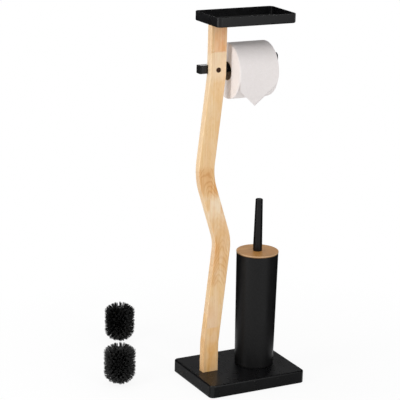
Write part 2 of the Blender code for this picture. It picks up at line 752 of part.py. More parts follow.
def make_cup(place):
    """Tapered cup with a recessed floor, its liner and its foot ring."""
    edge = CUP_EDGE_RADIUS
    rim = CUP_SHEET / 2
    floor_top = CUP_RECESS + CUP_SHEET
    cup = turned([
        (0, CUP_RECESS),
        (cup_radius(CUP_RECESS) - CUP_SHEET, CUP_RECESS),
        (cup_radius(0) - CUP_SHEET, 0),
        (cup_radius(0) - edge, 0),
        (cup_radius(edge), edge),
        (cup_radius(CUP_HEIGHT) - rim / 2, CUP_HEIGHT - rim),
        (cup_radius(CUP_HEIGHT) - rim, CUP_HEIGHT),
        (cup_radius(CUP_HEIGHT) - CUP_SHEET, CUP_HEIGHT - rim),
        (cup_radius(floor_top) - CUP_SHEET, floor_top),
        (0, floor_top),
    ], ROUND_SIDES)
    add_part("brush_cup", moved(cup, z=CUP_BOTTOM), "matt_black", place)

    def liner_radius(height):
        return cup_radius(height + floor_top + GAP) - CUP_SHEET - LINER_CLEARANCE

    liner = turned([
        (0, 0),
        (liner_radius(0), 0),
        (liner_radius(LINER_HEIGHT), LINER_HEIGHT),
        (liner_radius(LINER_HEIGHT) - LINER_WALL, LINER_HEIGHT),
        (liner_radius(LINER_WALL) - LINER_WALL, LINER_WALL),
        (0, LINER_WALL),
    ], ROUND_SIDES)
    add_part("cup_liner", moved(liner, z=LINER_BOTTOM), "black_plastic", place)

    outer = cup_radius(0) - CUP_SHEET - GAP
    inner = outer - FOOT_RING_WIDTH
    top = CUP_RECESS - GAP
    ring = turned([
        (inner, -FOOT_RING_STAND_OUT),
        (outer, -FOOT_RING_STAND_OUT),
        (outer, top),
        (inner, top),
    ], ROUND_SIDES, endless=True)
    add_part("cup_foot_ring", moved(ring, z=CUP_BOTTOM), "rubber", place)


# Lid, handle and rod

def make_lid(place):
    """Wooden lid with its plug and its clamp nut."""
    hole = THREAD_HOLE_RADIUS
    radius = CUP_TOP_RADIUS + LID_OVERHANG
    quarter = [math.pi / 2 * step / BEND_STEPS for step in range(BEND_STEPS + 1)]
    edge = LID_EDGE_RADIUS
    upper = LID_THICKNESS - edge
    profile = [(hole, 0)]
    profile += [(radius - edge + edge * math.sin(a), edge - edge * math.cos(a)) for a in quarter]
    profile += [(radius - edge + edge * math.cos(a), upper + edge * math.sin(a)) for a in quarter]
    profile += [(hole, LID_THICKNESS)]
    lid = turned(profile, ROUND_SIDES, endless=True)
    add_part("brush_lid", moved(lid, z=LID_BOTTOM), "bamboo", place)

    outer = cup_radius(CUP_HEIGHT - PLUG_SKIRT_DEPTH) - CUP_SHEET - PLUG_CLEARANCE
    plug = turned([
        (hole, 0),
        (outer, 0),
        (outer, -PLUG_SKIRT_DEPTH),
        (outer - PLUG_WALL, -PLUG_SKIRT_DEPTH),
        (outer - PLUG_WALL, -PLUG_PLATE),
        (hole, -PLUG_PLATE),
    ], ROUND_SIDES, endless=True)
    add_part("lid_plug", moved(plug, z=PLUG_TOP), "black_plastic", place)

    nut = turned([
        (LID_NUT_RADIUS, 0),
        (LID_NUT_RADIUS, LID_NUT_HEIGHT),
        (0, LID_NUT_HEIGHT),
        (0, 0),
    ], HEX_SIDES, endless=True)
    lid_nut = add_part("lid_nut", moved(nut, z=NUT_BOTTOM), "steel", place)
    cut(lid_nut, "lid_nut_hole", [rod_cutter(hole, NUT_BOTTOM - CUT_OVERRUN, NUT_TOP + CUT_OVERRUN)])


def make_handle(place):
    """Tapered handle and the rod from it down to the brush head."""
    top = HANDLE_LENGTH
    hole = THREAD_HOLE_RADIUS
    handle = turned([
        (0, HANDLE_SOCKET_DEPTH),
        (hole, HANDLE_SOCKET_DEPTH),
        (hole, 0),
        (HANDLE_BOTTOM_RADIUS - HANDLE_BEVEL, 0),
        (HANDLE_BOTTOM_RADIUS, HANDLE_BEVEL),
        (HANDLE_TOP_RADIUS, top - HANDLE_BEVEL),
        (HANDLE_TOP_RADIUS - HANDLE_BEVEL, top),
        (0, top),
    ], ROUND_SIDES)
    add_part("brush_handle", moved(handle, z=HANDLE_BOTTOM), "powder_black", place)

    rod = turned([
        (0, HEAD_TOP - HEAD_SOCKET_DEPTH + ROD_END_SPACE),
        (ROD_THREAD_RADIUS, HEAD_TOP - HEAD_SOCKET_DEPTH + ROD_END_SPACE),
        (ROD_THREAD_RADIUS, HEAD_TOP + GAP),
        (ROD_RADIUS, HEAD_TOP + GAP),
        (ROD_RADIUS, NUT_BOTTOM - GAP),
        (ROD_THREAD_RADIUS, NUT_BOTTOM - GAP),
        (ROD_THREAD_RADIUS, HANDLE_BOTTOM + HANDLE_SOCKET_DEPTH - ROD_END_SPACE),
        (0, HANDLE_BOTTOM + HANDLE_SOCKET_DEPTH - ROD_END_SPACE),
    ], SMALL_SIDES)
    add_part("brush_rod", rod, "steel", place)


# Brush heads

def along_line(points, share):
    """Place at a share of the length of a line of points."""
    lengths = [(after - before).length for before, after in zip(points, points[1:])]
    left = share * sum(lengths)
    for before, after, length in zip(points, points[1:], lengths):
        if left <= length:
            return before.lerp(after, left / length)
        left -= length
    return points[-1]


def bristle_tip_line():
    """Radius and height of the bristle tips, from the top of the head round its domed bottom."""
    line = [
        Vector((HEAD_RADIUS - HEAD_SHOULDER_INSET, HEAD_HEIGHT)),
        Vector((HEAD_RADIUS, HEAD_HEIGHT - HEAD_SHOULDER_DROP)),
    ]
    for step in range(ARC_STEPS + 1):
        angle = math.pi / 2 * step / ARC_STEPS
        line.append(Vector((HEAD_RADIUS * math.cos(angle), HEAD_DOME_HEIGHT * (1 - math.sin(angle)))))
    return line


def sleeve_rows():
    """Radius and height of the sleeve's rows of cells, from its top down its side and round its dome."""
    rows = []
    dome = SLEEVE_BOTTOM + SLEEVE_RADIUS
    for step in range(SIDE_ROWS + 1):
        rows.append((SLEEVE_RADIUS, SLEEVE_TOP + (dome - SLEEVE_TOP) * step / SIDE_ROWS))
    for step in range(1, DOME_ROWS + 1):
        angle = math.pi / 2 * step / (DOME_ROWS + 1)
        rows.append((SLEEVE_RADIUS * math.cos(angle), dome - SLEEVE_RADIUS * math.sin(angle)))
    return rows


def ring_of(body, radius, height):
    """Ring of points with one column to each bristle."""
    turns = [math.tau * column / COLUMNS_AROUND for column in range(COLUMNS_AROUND)]
    return [body.verts.new((radius * math.cos(a), radius * math.sin(a), height)) for a in turns]


def bridge(body, upper, lower):
    """Faces between two rings, one to each column."""
    faces = []
    for index, corner in enumerate(upper):
        following = (index + 1) % len(upper)
        faces.append(body.faces.new((corner, lower[index], lower[following], upper[following])))
    return faces


def grow_bristle(body, cell, tip, width):
    """Four-sided bristle that grows from one cell of the sleeve and narrows to its tip."""
    centre = cell.calc_center_median()
    end = bmesh.ops.extrude_discrete_faces(body, faces=[cell])["faces"][0]
    around = Vector((-centre.y, centre.x, 0)).normalized()
    along = (tip - centre).normalized()
    across = along.cross(around)
    for corner in end.verts:
        offset = corner.co - centre
        u = math.copysign(width / 2, offset.dot(around))
        v = math.copysign(width / 2, offset.dot(across))
        corner.co = tip + around * u + across * v


def bristle_mesh():
    """Sleeve with its bristles as one closed body, and the height of its flat trim."""
    body = bmesh.new()
    bore = SLEEVE_RADIUS - SLEEVE_WALL
    floor = ring_of(body, bore, SLEEVE_BOTTOM + SLEEVE_RADIUS)
    mouth = ring_of(body, bore, SLEEVE_TOP)
    rows = [ring_of(body, radius, height) for radius, height in sleeve_rows()]
    body.faces.new(floor)
    bridge(body, mouth, floor)
    bridge(body, mouth, rows[0])
    cells = [bridge(body, upper, lower) for upper, lower in zip(rows, rows[1:])]
    body.faces.new(rows[-1])
    bmesh.ops.recalc_face_normals(body, faces=body.faces)

    tips = bristle_tip_line()
    lengths = random.Random(BRISTLE_SEED)
    for number, row in enumerate(cells):
        dome_row = max(0, number - SIDE_ROWS)
        apart = 2 ** dome_row
        share = (number + BRISTLE_FIRST_SHARE) / len(cells)
        for column in range(0, COLUMNS_AROUND, apart):
            radius, height = along_line(tips, share)
            angle = math.tau * (column + 0.5 + (number % 2) / 2) / COLUMNS_AROUND
            tip = Vector((radius * math.cos(angle), radius * math.sin(angle), height))
            root = row[column].calc_center_median()
            short = BRISTLE_LENGTH_SPREAD * lengths.random() / (tip - root).length
            grow_bristle(body, row[column], tip.lerp(root, short), BRISTLE_TIP_WIDTH)

    lowest = min(corner.co.z for corner in body.verts)
    everything = body.verts[:] + body.edges[:] + body.faces[:]
    trimmed = bmesh.ops.bisect_plane(
        body, geom=everything, plane_co=(0, 0, lowest + HEAD_TRIM), plane_no=(0, 0, -1), clear_outer=True
    )
    rim = [item for item in trimmed["geom_cut"] if isinstance(item, bmesh.types.BMEdge)]
    bmesh.ops.holes_fill(body, edges=rim, sides=0)
    bmesh.ops.recalc_face_normals(body, faces=body.faces)
    mesh = bpy.data.meshes.new("bristles")
    body.to_mesh(mesh)
    body.free()
    mesh.materials.append(part_material("bristles", "bristle"))
    return mesh, lowest + HEAD_TRIM


def core_mesh():
    """Plastic core in the sleeve's bore, with a collar and a threaded socket on top."""
    stem = SLEEVE_RADIUS - SLEEVE_WALL - 2 * GAP
    top = SLEEVE_TOP + GAP + COLLAR_HEIGHT
    body = turned([
        (0, SLEEVE_BOTTOM + SLEEVE_RADIUS + GAP),
        (stem, SLEEVE_BOTTOM + SLEEVE_RADIUS + GAP),
        (stem, SLEEVE_TOP + GAP),
        (COLLAR_RADIUS, SLEEVE_TOP + GAP),
        (COLLAR_RADIUS, top - HANDLE_BEVEL),
        (COLLAR_RADIUS - HANDLE_BEVEL, top),
        (THREAD_HOLE_RADIUS, top),
        (THREAD_HOLE_RADIUS, top - HEAD_SOCKET_DEPTH),
        (0, top - HEAD_SOCKET_DEPTH),
    ], SMALL_SIDES)
    mesh = bpy.data.meshes.new("head_core")
    body.to_mesh(mesh)
    body.free()
    mesh.shade_smooth()
    mesh.set_sharp_from_angle(angle=SHARP_ANGLE)
    mesh.materials.append(part_material("core", "black_plastic"))
    return mesh


def make_heads(cup_place):
    """The head in the cup and the two spare heads on the floor."""
    bristles, trim = bristle_mesh()
    core = core_mesh()
    spare_1 = add_place("spare_1_place", (SPARE_1_X, SPARE_1_Y, 0))
    spare_2 = add_place("spare_2_place", (SPARE_1_X + SPARE_2_STEP_X, SPARE_1_Y + SPARE_2_STEP_Y, 0))
    for name, place, height in (
        ("head", cup_place, HEAD_BOTTOM),
        ("spare_1", spare_1, -trim),
        ("spare_2", spare_2, -trim),
    ):
        link_object(f"{name}_bristles", bristles, place, (0, 0, height))
        link_object(f"{name}_core", core, place, (0, 0, height))


def main():
    clear_scene()
    well_top = make_base()
    screw_seat = make_post_screws(well_top)
    make_post(screw_seat)
    make_tray()
    make_bar()
    make_bar_ends()
    make_bar_fixing()
    make_roll()
    cup_place = add_place("cup_axis", (CUP_X, CUP_Y, 0))
    make_cup(cup_place)
    make_lid(cup_place)
    make_handle(cup_place)
    make_heads(cup_place)


main()
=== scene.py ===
# %% [markdown]
# # A toilet butler stand, dressed for its picture
#
# The stand is a heavy black base, a wavy wooden post, a tray, a square bar with a toilet roll, a brush in a
# tapered cup, and two spare brush heads on the floor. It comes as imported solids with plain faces. This script
# leaves those solids where they are, lays finer shapes over the ones that show, and gives each surface a finish.
#
# The first step loads the solids. They are the frame that all the rest is measured from.

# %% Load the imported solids
import math
import random

import bmesh
import bpy
from mathutils import Matrix, Vector, noise


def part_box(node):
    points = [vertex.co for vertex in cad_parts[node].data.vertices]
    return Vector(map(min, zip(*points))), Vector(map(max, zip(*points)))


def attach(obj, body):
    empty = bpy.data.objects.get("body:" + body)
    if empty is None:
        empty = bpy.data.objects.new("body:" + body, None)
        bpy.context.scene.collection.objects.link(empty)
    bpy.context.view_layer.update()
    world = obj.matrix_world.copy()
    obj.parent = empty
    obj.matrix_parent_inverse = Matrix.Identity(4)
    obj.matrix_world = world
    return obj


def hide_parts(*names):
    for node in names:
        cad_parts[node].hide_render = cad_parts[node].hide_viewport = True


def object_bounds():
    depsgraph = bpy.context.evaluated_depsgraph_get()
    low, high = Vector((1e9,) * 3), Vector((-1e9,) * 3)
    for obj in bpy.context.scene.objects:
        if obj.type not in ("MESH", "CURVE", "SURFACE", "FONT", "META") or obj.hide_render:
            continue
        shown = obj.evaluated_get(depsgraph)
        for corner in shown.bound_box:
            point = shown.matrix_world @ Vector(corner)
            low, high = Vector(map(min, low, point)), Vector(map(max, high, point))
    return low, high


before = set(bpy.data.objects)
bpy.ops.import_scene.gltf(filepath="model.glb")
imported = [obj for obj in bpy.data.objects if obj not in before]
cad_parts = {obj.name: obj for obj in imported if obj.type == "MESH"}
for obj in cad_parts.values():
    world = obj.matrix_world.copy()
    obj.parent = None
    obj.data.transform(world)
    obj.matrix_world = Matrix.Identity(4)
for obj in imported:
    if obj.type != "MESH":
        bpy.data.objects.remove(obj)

packed_low, packed_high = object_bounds()
MM = 0.001
print("packed size in mm:", [round(side / MM, 1) for side in packed_high - packed_low])

# %% [markdown]
# ## Mixing a finish
#
# A real surface is never one flat colour. Paint has a fine skin, wood has grain, paper has fibres. Each finish
# here starts as a Principled shader, and small helper words add the nodes that vary its colour, its roughness
# and its relief. The patterns are placed by object coordinates in metres, so a scale of 1000 is one wave to a
# millimetre, and they turn with the piece. Values that are the same all over are set on the shader itself.

# %% Add nodes and join them
def join(tree, value, socket):
    """Link a value that comes from a node to a socket, or set one that doesn't."""
    if isinstance(value, bpy.types.NodeSocket):
        tree.links.new(value, socket)
    else:
        socket.default_value = value


def add_node(tree, kind, inputs, **settings):
    """Add one shader node with its settings and its inputs."""
    made = tree.nodes.new("ShaderNode" + kind)
    for name, value in settings.items():
        setattr(made, name, value)
    for name, value in inputs.items():
        join(tree, value, made.inputs[name])
    return made


def tones(colour):
    """Red, green, blue and full cover, from one grey or from three tones."""
    return (*colour, 1) if hasattr(colour, "__len__") else (colour, colour, colour, 1)

# %% [markdown]
# Each mix below needs the same dozen nodes again and again. They could be written out each time, but a small class
# keeps a mix readable: it holds the material and its shader, and each of its words adds one kind of node.

# %% Words for mixing a finish
class Finish:
    """A finish being mixed: its material, its shader, and short words for the nodes it is made of."""

    def __init__(self, name, colour, roughness, specular=0.5, metallic=0.0):
        self.slot = name
        self.material = bpy.data.materials.new(f"{name}_finish")
        self.material.use_nodes = True
        self.tree = self.material.node_tree
        self.shader = self.tree.nodes["Principled BSDF"]
        self.set("Base Color", tones(colour))
        self.set("Roughness", roughness)
        self.set("Specular IOR Level", specular)
        self.set("Metallic", metallic)

    def set(self, name, value):
        """Set one value on the shader, or link it when the value comes from a node."""
        join(self.tree, value, self.shader.inputs[name])

    def add(self, kind, inputs, **settings):
        return add_node(self.tree, kind, inputs, **settings)

    def place(self, x=1, y=1, z=1):
        """Object coordinates, each stretched by its own factor."""
        where = self.add("TexCoord", {}).outputs["Object"]
        return self.add("Mapping", {"Vector": where, "Scale": (x, y, z)}).outputs["Vector"]

    def parts(self, where):
        """X, Y and Z of a place, each on its own."""
        return self.add("SeparateXYZ", {0: where}).outputs

    def noise(self, where, scale=1, detail=2, distortion=0):
        """Cloudy pattern from 0 to 1."""
        inputs = {"Vector": where, "Scale": scale, "Detail": detail, "Distortion": distortion}
        return self.add("TexNoise", inputs).outputs["Fac"]

    def maths(self, operation, first, second=0, third=0.5):
        return self.add("Math", {0: first, 1: second, 2: third}, operation=operation).outputs[0]

    def vector(self, operation, first, second=(0, 0, 0)):
        return self.add("VectorMath", {0: first, 1: second}, operation=operation).outputs[0]

    def share(self, value, low, high):
        """How far a value is on its way from a low to a high, from 0 to 1."""
        return self.add("MapRange", {"Value": value, "From Min": low, "From Max": high}).outputs[0]

    def ramp(self, factor, *stops, steps=False):
        """Colours along a factor, given as (place, colour); steps keeps each colour up to the next place."""
        made = self.add("ValToRGB", {"Fac": factor})
        if steps:
            made.color_ramp.interpolation = "CONSTANT"
        elements = made.color_ramp.elements
        elements.remove(elements[-1])
        for number, (place, colour) in enumerate(stops):
            element = elements[0] if number == 0 else elements.new(place)
            element.position = place
            element.color = tones(colour)
        return made.outputs["Color"]

    def blend(self, factor, first, second, way="MIX"):
        """One colour over another, by a factor. Only the colour sockets of the mix node are used: 6, 7 and 2."""
        made = self.add("Mix", {}, data_type="RGBA", blend_type=way)
        join(self.tree, factor, made.inputs[0])
        for number, colour in ((6, first), (7, second)):
            join(self.tree, colour if isinstance(colour, bpy.types.NodeSocket) else tones(colour), made.inputs[number])
        return made.outputs[2]

    def relief(self, height, depth):
        """Small relief of a depth in metres, stacked on the relief that is there."""
        bump = self.add("Bump", {"Height": height, "Distance": depth})
        for link in self.shader.inputs["Normal"].links:
            self.tree.links.new(link.from_socket, bump.inputs["Normal"])
        self.set("Normal", bump.outputs["Normal"])


FINISHES = {}


def keep(finish):
    """Keep a mixed finish under the name of its slot."""
    FINISHES[finish.slot] = finish.material
    print("finish:", finish.slot, "with", len(finish.tree.nodes), "nodes")

# %% [markdown]
# ## Black coats and plastics
#
# Powder coat is baked paint: the powder melts into a skin with a faint orange-peel relief. The base and the tray
# have a satin one, the bar a glossier one, and the cup a softer, matt one. Moulded plastic, the brown-black screws
# and rubber are further skins of the same kind. All are near black, so what the eye reads is mostly how much they
# mirror and how sharply. One black for all would be quicker, but each has its own sheen in the photograph, so one
# recipe is mixed with other numbers for each.

# %% Satin powder coat, matt coat and black plastics
CLOUD_SCALE = 60
SHADE_SCALE = 350


def black_coat(name, colour, roughness, specular, peel_scale, peel_depth, metallic=0.0):
    """Black skin with cloudy roughness and a fine relief."""
    coat = Finish(name, colour, roughness, specular, metallic)
    cloud = coat.noise(coat.place(), CLOUD_SCALE, 4)
    coat.set("Roughness", coat.ramp(cloud, (0.3, roughness - 0.04), (0.7, roughness + 0.05)))
    darker, lighter = (tuple(channel * share for channel in colour) for share in (0.8, 1.25))
    coat.set("Base Color", coat.ramp(coat.noise(coat.place(), SHADE_SCALE, 3), (0.35, darker), (0.65, lighter)))
    coat.relief(coat.noise(coat.place(), peel_scale, 1), peel_depth)
    keep(coat)


black_coat("black_powder_coat", (0.0038, 0.0038, 0.0043), 0.29, 0.23, 900, 0.002 * MM)
black_coat("glossy_bar_coat", (0.0056, 0.0052, 0.0048), 0.24, 0.28, 900, 0.008 * MM)
black_coat("matt_black_coat", (0.0076, 0.0076, 0.0079), 0.38, 0.155, 1400, 0.012 * MM)
black_coat("black_plastic", (0.009, 0.009, 0.009), 0.4, 0.32, 500, 0.01 * MM)
black_coat("handle_black", (0.0048, 0.0048, 0.0054), 0.32, 0.2, 700, 0.01 * MM)
black_coat("black_screw", (0.05, 0.026, 0.016), 0.34, 0.5, 1200, 0.01 * MM, metallic=1)
black_coat("black_rubber", (0.012, 0.012, 0.012), 0.8, 0.2, 1500, 0.04 * MM)

# %% [markdown]
# ## Bristles
#
# Brush filaments are drawn nylon or polypropylene: smooth, a little glossy, and so thin that only a streak of
# light shows on each. A hair shader could draw them, but these are real meshes, so a plain dark plastic does it.
# A slow cloud changes its colour and its gloss slightly from one tuft to the next.

# %% Bristle plastic
bristle = Finish("bristle_black", (0.004, 0.004, 0.004), 0.3, 0.38)
tuft_cloud = bristle.noise(bristle.place(), 180, 2)
bristle.set("Base Color", bristle.ramp(tuft_cloud, (0.35, 0.002), (0.7, 0.008)))
bristle.set("Roughness", bristle.ramp(tuft_cloud, (0.3, 0.22), (0.7, 0.4)))
bristle.relief(bristle.noise(bristle.place(), 2500, 1), 0.01 * MM)
keep(bristle)

# %% [markdown]
# ## The post's wood
#
# The board is glued up from narrow strips, and each strip is made of short blocks with fingers cut into their
# ends. So the colour steps from block to block, along the board and across it, and each block has its own grain.
# Which strip a point is in comes from X. Which block it is in comes from its height, pushed up and down by a
# zigzag in Y: so the fingers show on the board's sides, and on its face a joint is one straight line, as on the
# real post. A picture of such a board could be laid on instead, but it would repeat, and it would belong to
# somebody. A ramp of tints along the height needs no picture, and the joints go exactly where they are wanted.

# %% Sizes of the board that the wood is laid out on
post_low, post_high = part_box("post")
screw_low, screw_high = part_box("bar_screw")
POST_X = (screw_low.x + screw_high.x) / 2
post_height = post_high.z - post_low.z
print("post:", round(post_height / MM, 1), "mm high, centred on x =", round(POST_X / MM, 1), "mm")

TINTS = {
    "cream": (0.92, 0.71, 0.47),
    "straw": (0.87, 0.60, 0.315),
    "honey": (0.82, 0.52, 0.245),
    "pink": (0.86, 0.59, 0.355),
    "tan": (0.78, 0.465, 0.205),
    "russet": (0.93, 0.555, 0.28),
    "orange": (0.78, 0.43, 0.165),
    "amber": (0.89, 0.53, 0.195),
    "gold": (0.88, 0.575, 0.275),
}
FINGER_PITCH = 4.5 * MM
FINGER_LENGTH = 9 * MM
JOINTS = (0.131, 0.6, 0.925)  # as shares of the post's height, like all heights in the wood
HARD = 0.0012
LEFT_SEAM = POST_X - 11.8 * MM
RIGHT_SEAM = POST_X + 14.2 * MM

# %% [markdown]
# A strip is written down as its blocks: a tint, the height it starts at, and how softly it starts. A hard start
# is a glued joint. A soft one is heartwood that runs out into sapwood within a block. Each start becomes two stops
# of a colour ramp, close together or far apart.

# %% Blocks of the three strips
LEFT_STRIP = (
    ("honey", 0, 0), ("gold", 0.16, 0.06), ("straw", 0.24, 0.06), ("cream", 0.34, 0.06), ("straw", 0.45, 0.08),
    ("tan", 0.53, 0.05), ("straw", 0.6, 0.02), ("cream", 0.84, 0.05), ("honey", 0.925, HARD),
)
MIDDLE_STRIP = (
    ("amber", 0, 0), ("gold", 0.085, 0.06), ("pink", 0.131, HARD), ("straw", 0.2, 0.06), ("honey", 0.258, 0.012),
    ("orange", 0.335, 0.05), ("honey", 0.385, 0.04), ("cream", 0.45, 0.05), ("orange", 0.522, 0.025),
    ("honey", 0.56, 0.02), ("straw", 0.6, HARD), ("cream", 0.848, 0.02), ("russet", 0.925, HARD),
)
RIGHT_STRIP = (
    ("honey", 0, 0), ("straw", 0.131, 0.03), ("honey", 0.3, 0.05), ("pink", 0.43, 0.05), ("orange", 0.53, 0.04),
    ("honey", 0.56, 0.02), ("straw", 0.6, HARD), ("cream", 0.85, 0.03), ("russet", 0.925, HARD),
)
wood = Finish("pale_wood", TINTS["straw"], 0.45, 0.38)
x, y, z = wood.parts(wood.place())
zigzag = wood.maths("PINGPONG", wood.maths("SUBTRACT", y, post_low.y), FINGER_PITCH / 2)
finger = wood.maths("MULTIPLY", zigzag, 2 * FINGER_LENGTH / FINGER_PITCH)
plain_share = wood.maths("DIVIDE", wood.maths("SUBTRACT", z, post_low.z), post_height)
height_share = wood.maths("ADD", plain_share, wood.maths("DIVIDE", finger, post_height))


def strip(blocks):
    """Tint along one strip of blocks."""
    stops = [(0, TINTS[blocks[0][0]])]
    for (before, *_), (tint, start, soft) in zip(blocks, blocks[1:]):
        stops += [(start - soft / 2, TINTS[before]), (start + soft / 2, TINTS[tint])]
    return wood.ramp(height_share, *stops)


past_left = wood.maths("GREATER_THAN", x, LEFT_SEAM)
past_middle = wood.maths("GREATER_THAN", x, RIGHT_SEAM)
block_tint = wood.blend(past_left, strip(LEFT_STRIP), strip(MIDDLE_STRIP))
block_tint = wood.blend(past_middle, block_tint, strip(RIGHT_STRIP))
print("strips of", len(LEFT_STRIP), len(MIDDLE_STRIP), "and", len(RIGHT_STRIP), "blocks, from left to right")

# %% [markdown]
# Grain on a flat-sawn board is a stack of nested arches. A wave texture would draw straight rings. Height plus
# the square of the distance from the board's middle gives the arches as contour lines, and a sine of that repeats
# them. The arches follow the wave of the post, so the bends of that wave are written down here already.

# %% Arches
POST_SWING = 24.2 * MM
WAVE = (  # share of the height, side that the post swings to, radius of the bend
    (0.0859, 0, 60 * MM),
    (0.3852, 1, 100 * MM),
    (0.5759, -1, 150 * MM),
    (0.8588, 0, 100 * MM),
)
ARCH_PITCH = 15 * MM
ARCH_WIDTH = 12 * MM

sideways = wood.ramp(plain_share, (0, 0.5), *[(share, (side + 1) / 2) for share, side, bend in WAVE], (1, 0.5))
swing = wood.maths("MULTIPLY", wood.maths("SUBTRACT", sideways, 0.5), 2 * POST_SWING)
off_middle = wood.maths("DIVIDE", wood.maths("SUBTRACT", wood.maths("SUBTRACT", x, POST_X), swing), ARCH_WIDTH)

# Each block has its own number, and each strip adds its own, which moves all patterns inside it.
block_number = wood.ramp(height_share, (0, 0.1), *zip(JOINTS, (0.5, 0.9, 0.3)), steps=True)
strip_number = wood.maths("ADD", wood.maths("MULTIPLY", past_left, 0.37), wood.maths("MULTIPLY", past_middle, 0.61))
shift = wood.vector("ADD", wood.vector("MULTIPLY", block_number, (37, 41, 43)), strip_number)


def in_block(across, along, detail):
    """Noise with its waves to the metre across and along the grain, which starts afresh in each block."""
    return wood.noise(wood.vector("ADD", wood.place(across, across, along), shift), 1, detail)


bow = wood.maths("MULTIPLY_ADD", off_middle, off_middle, wood.maths("MULTIPLY", in_block(38, 16, 2), 3))
arch_number = wood.maths("ADD", wood.maths("DIVIDE", z, ARCH_PITCH), bow)
arch = wood.maths("SINE", wood.maths("MULTIPLY", arch_number, math.tau))
print("arches: one every", round(ARCH_PITCH / MM), "mm, swinging", POST_SWING / MM, "mm to each side")

# %% [markdown]
# The arches are strong in a few blocks only. Over them lie broad streaks, dark and light, pinkish ones near both
# ends, fine fibres, the short dark dashes of cut pores, and pale clouds. Each is one noise, squeezed across the
# grain, and a ramp along the height says how strong it is. Painting them as darker colours would turn the wood
# grey, so most of them multiply the tint, and it stays warm under them.

# %% Streaks, blush, fibres, pores and clouds
arched_blocks = wood.ramp(
    plain_share, (0, 0.1), (0.25, 0.1), (0.262, 0.75), (0.375, 0.85), (0.4, 0.2), (0.515, 0.15), (0.53, 1.0),
    (0.598, 0.9), (0.602, 0.12), (1, 0.1),
)
streaky_blocks = wood.ramp(
    plain_share, (0, 0.55), (0.06, 0.4), (0.14, 0.3), (0.59, 0.35), (0.92, 0.4), (0.93, 1.0), (1, 1.0),
)
cloudy_blocks = wood.ramp(
    plain_share, (0, 0.3), (0.42, 0.3), (0.47, 1.0), (0.51, 1.0), (0.53, 0.0), (0.6, 0.0), (0.65, 0.3), (1, 0.3),
)
streaks = in_block(230, 6, 3)
blush = in_block(310, 9, 2)
fibres = in_block(950, 22, 3)
pores = in_block(1500, 75, 1)
clouds = in_block(60, 34, 2)


def mark(colour, amount, tone, strength=1):
    """Multiply a colour by a tone, as much as a pattern and a strength say."""
    return wood.blend(wood.maths("MULTIPLY", amount, strength), colour, tone, "MULTIPLY")


colour = mark(block_tint, wood.ramp(streaks, (0.36, 1.0), (0.52, 0.0)), (0.9, 0.79, 0.64), streaky_blocks)
colour = mark(colour, wood.ramp(blush, (0.5, 0.0), (0.62, 1.0)), (0.98, 0.86, 0.86), streaky_blocks)
colour = wood.blend(wood.ramp(streaks, (0.54, 0.0), (0.7, 0.5)), colour, (0.93, 0.70, 0.43))
colour = mark(colour, wood.ramp(arch, (0.1, 0.0), (0.95, 1.0)), (0.88, 0.77, 0.62), arched_blocks)
pale_spots = wood.maths("MULTIPLY", wood.ramp(clouds, (0.46, 0.0), (0.66, 0.8)), cloudy_blocks)
colour = wood.blend(pale_spots, colour, (0.94, 0.77, 0.57))
colour = mark(colour, wood.ramp(fibres, (0.35, 0.6), (0.6, 0.0)), (0.93, 0.86, 0.76))
colour = mark(colour, wood.ramp(pores, (0.66, 0.0), (0.72, 0.5)), (0.72, 0.58, 0.45))
print("wood so far:", len(wood.tree.nodes), "nodes")

# %% [markdown]
# The board's sides get painted light: they are made paler than its face, which the surface's own direction tells
# apart. A thin dark line is drawn where blocks are glued end to end. Last comes a clear satin lacquer: its gloss
# follows the fibres, and the pores are small dents in it.

# %% Sides, joints and lacquer
across_grain = wood.maths("ABSOLUTE", wood.parts(wood.add("TexCoord", {}).outputs["Normal"])[0])
# Painted light: the sides are made paler than the face, fading in between an eighth and a third of the height up.
painted_side_mask = wood.ramp(across_grain, (0.5, 0.0), (0.95, 0.5))
painted_side_light = wood.maths("MULTIPLY", painted_side_mask, wood.ramp(plain_share, (0.12, 0.0), (0.35, 1.0)))
colour = wood.blend(painted_side_light, colour, (0.91, 0.71, 0.49))
glue_stops = [((joint - 0.0016, 0.0), (joint, 0.3), (joint + 0.0012, 0.0)) for joint in JOINTS]
colour = mark(colour, wood.ramp(height_share, *sum(glue_stops, ())), (0.62, 0.45, 0.3))
wood.set("Base Color", colour)
wood.set("Roughness", wood.ramp(fibres, (0.3, 0.38), (0.7, 0.52)))
wood.relief(fibres, 0.04 * MM)
wood.relief(wood.ramp(pores, (0.66, 1.0), (0.74, 0.0)), 0.05 * MM)
keep(wood)

# %% [markdown]
# ## Bamboo for the lid
#
# A bamboo board is glued from thin slats. Each slat shows hundreds of fibre ends as fine lines, and every so
# often the darker band of a node. A brick texture could lay the slats, but rounding Y down to whole slat widths is
# simpler, and that number then gives each slat its tone and the place of its nodes. The rim gets a painted
# highlight on its upper half and painted shade on its lower half, and painted shade darkens the face towards its
# front.

# %% Bamboo with slats, fibres and nodes
lid_low, lid_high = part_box("brush_lid")
SLAT_WIDTH = 7 * MM

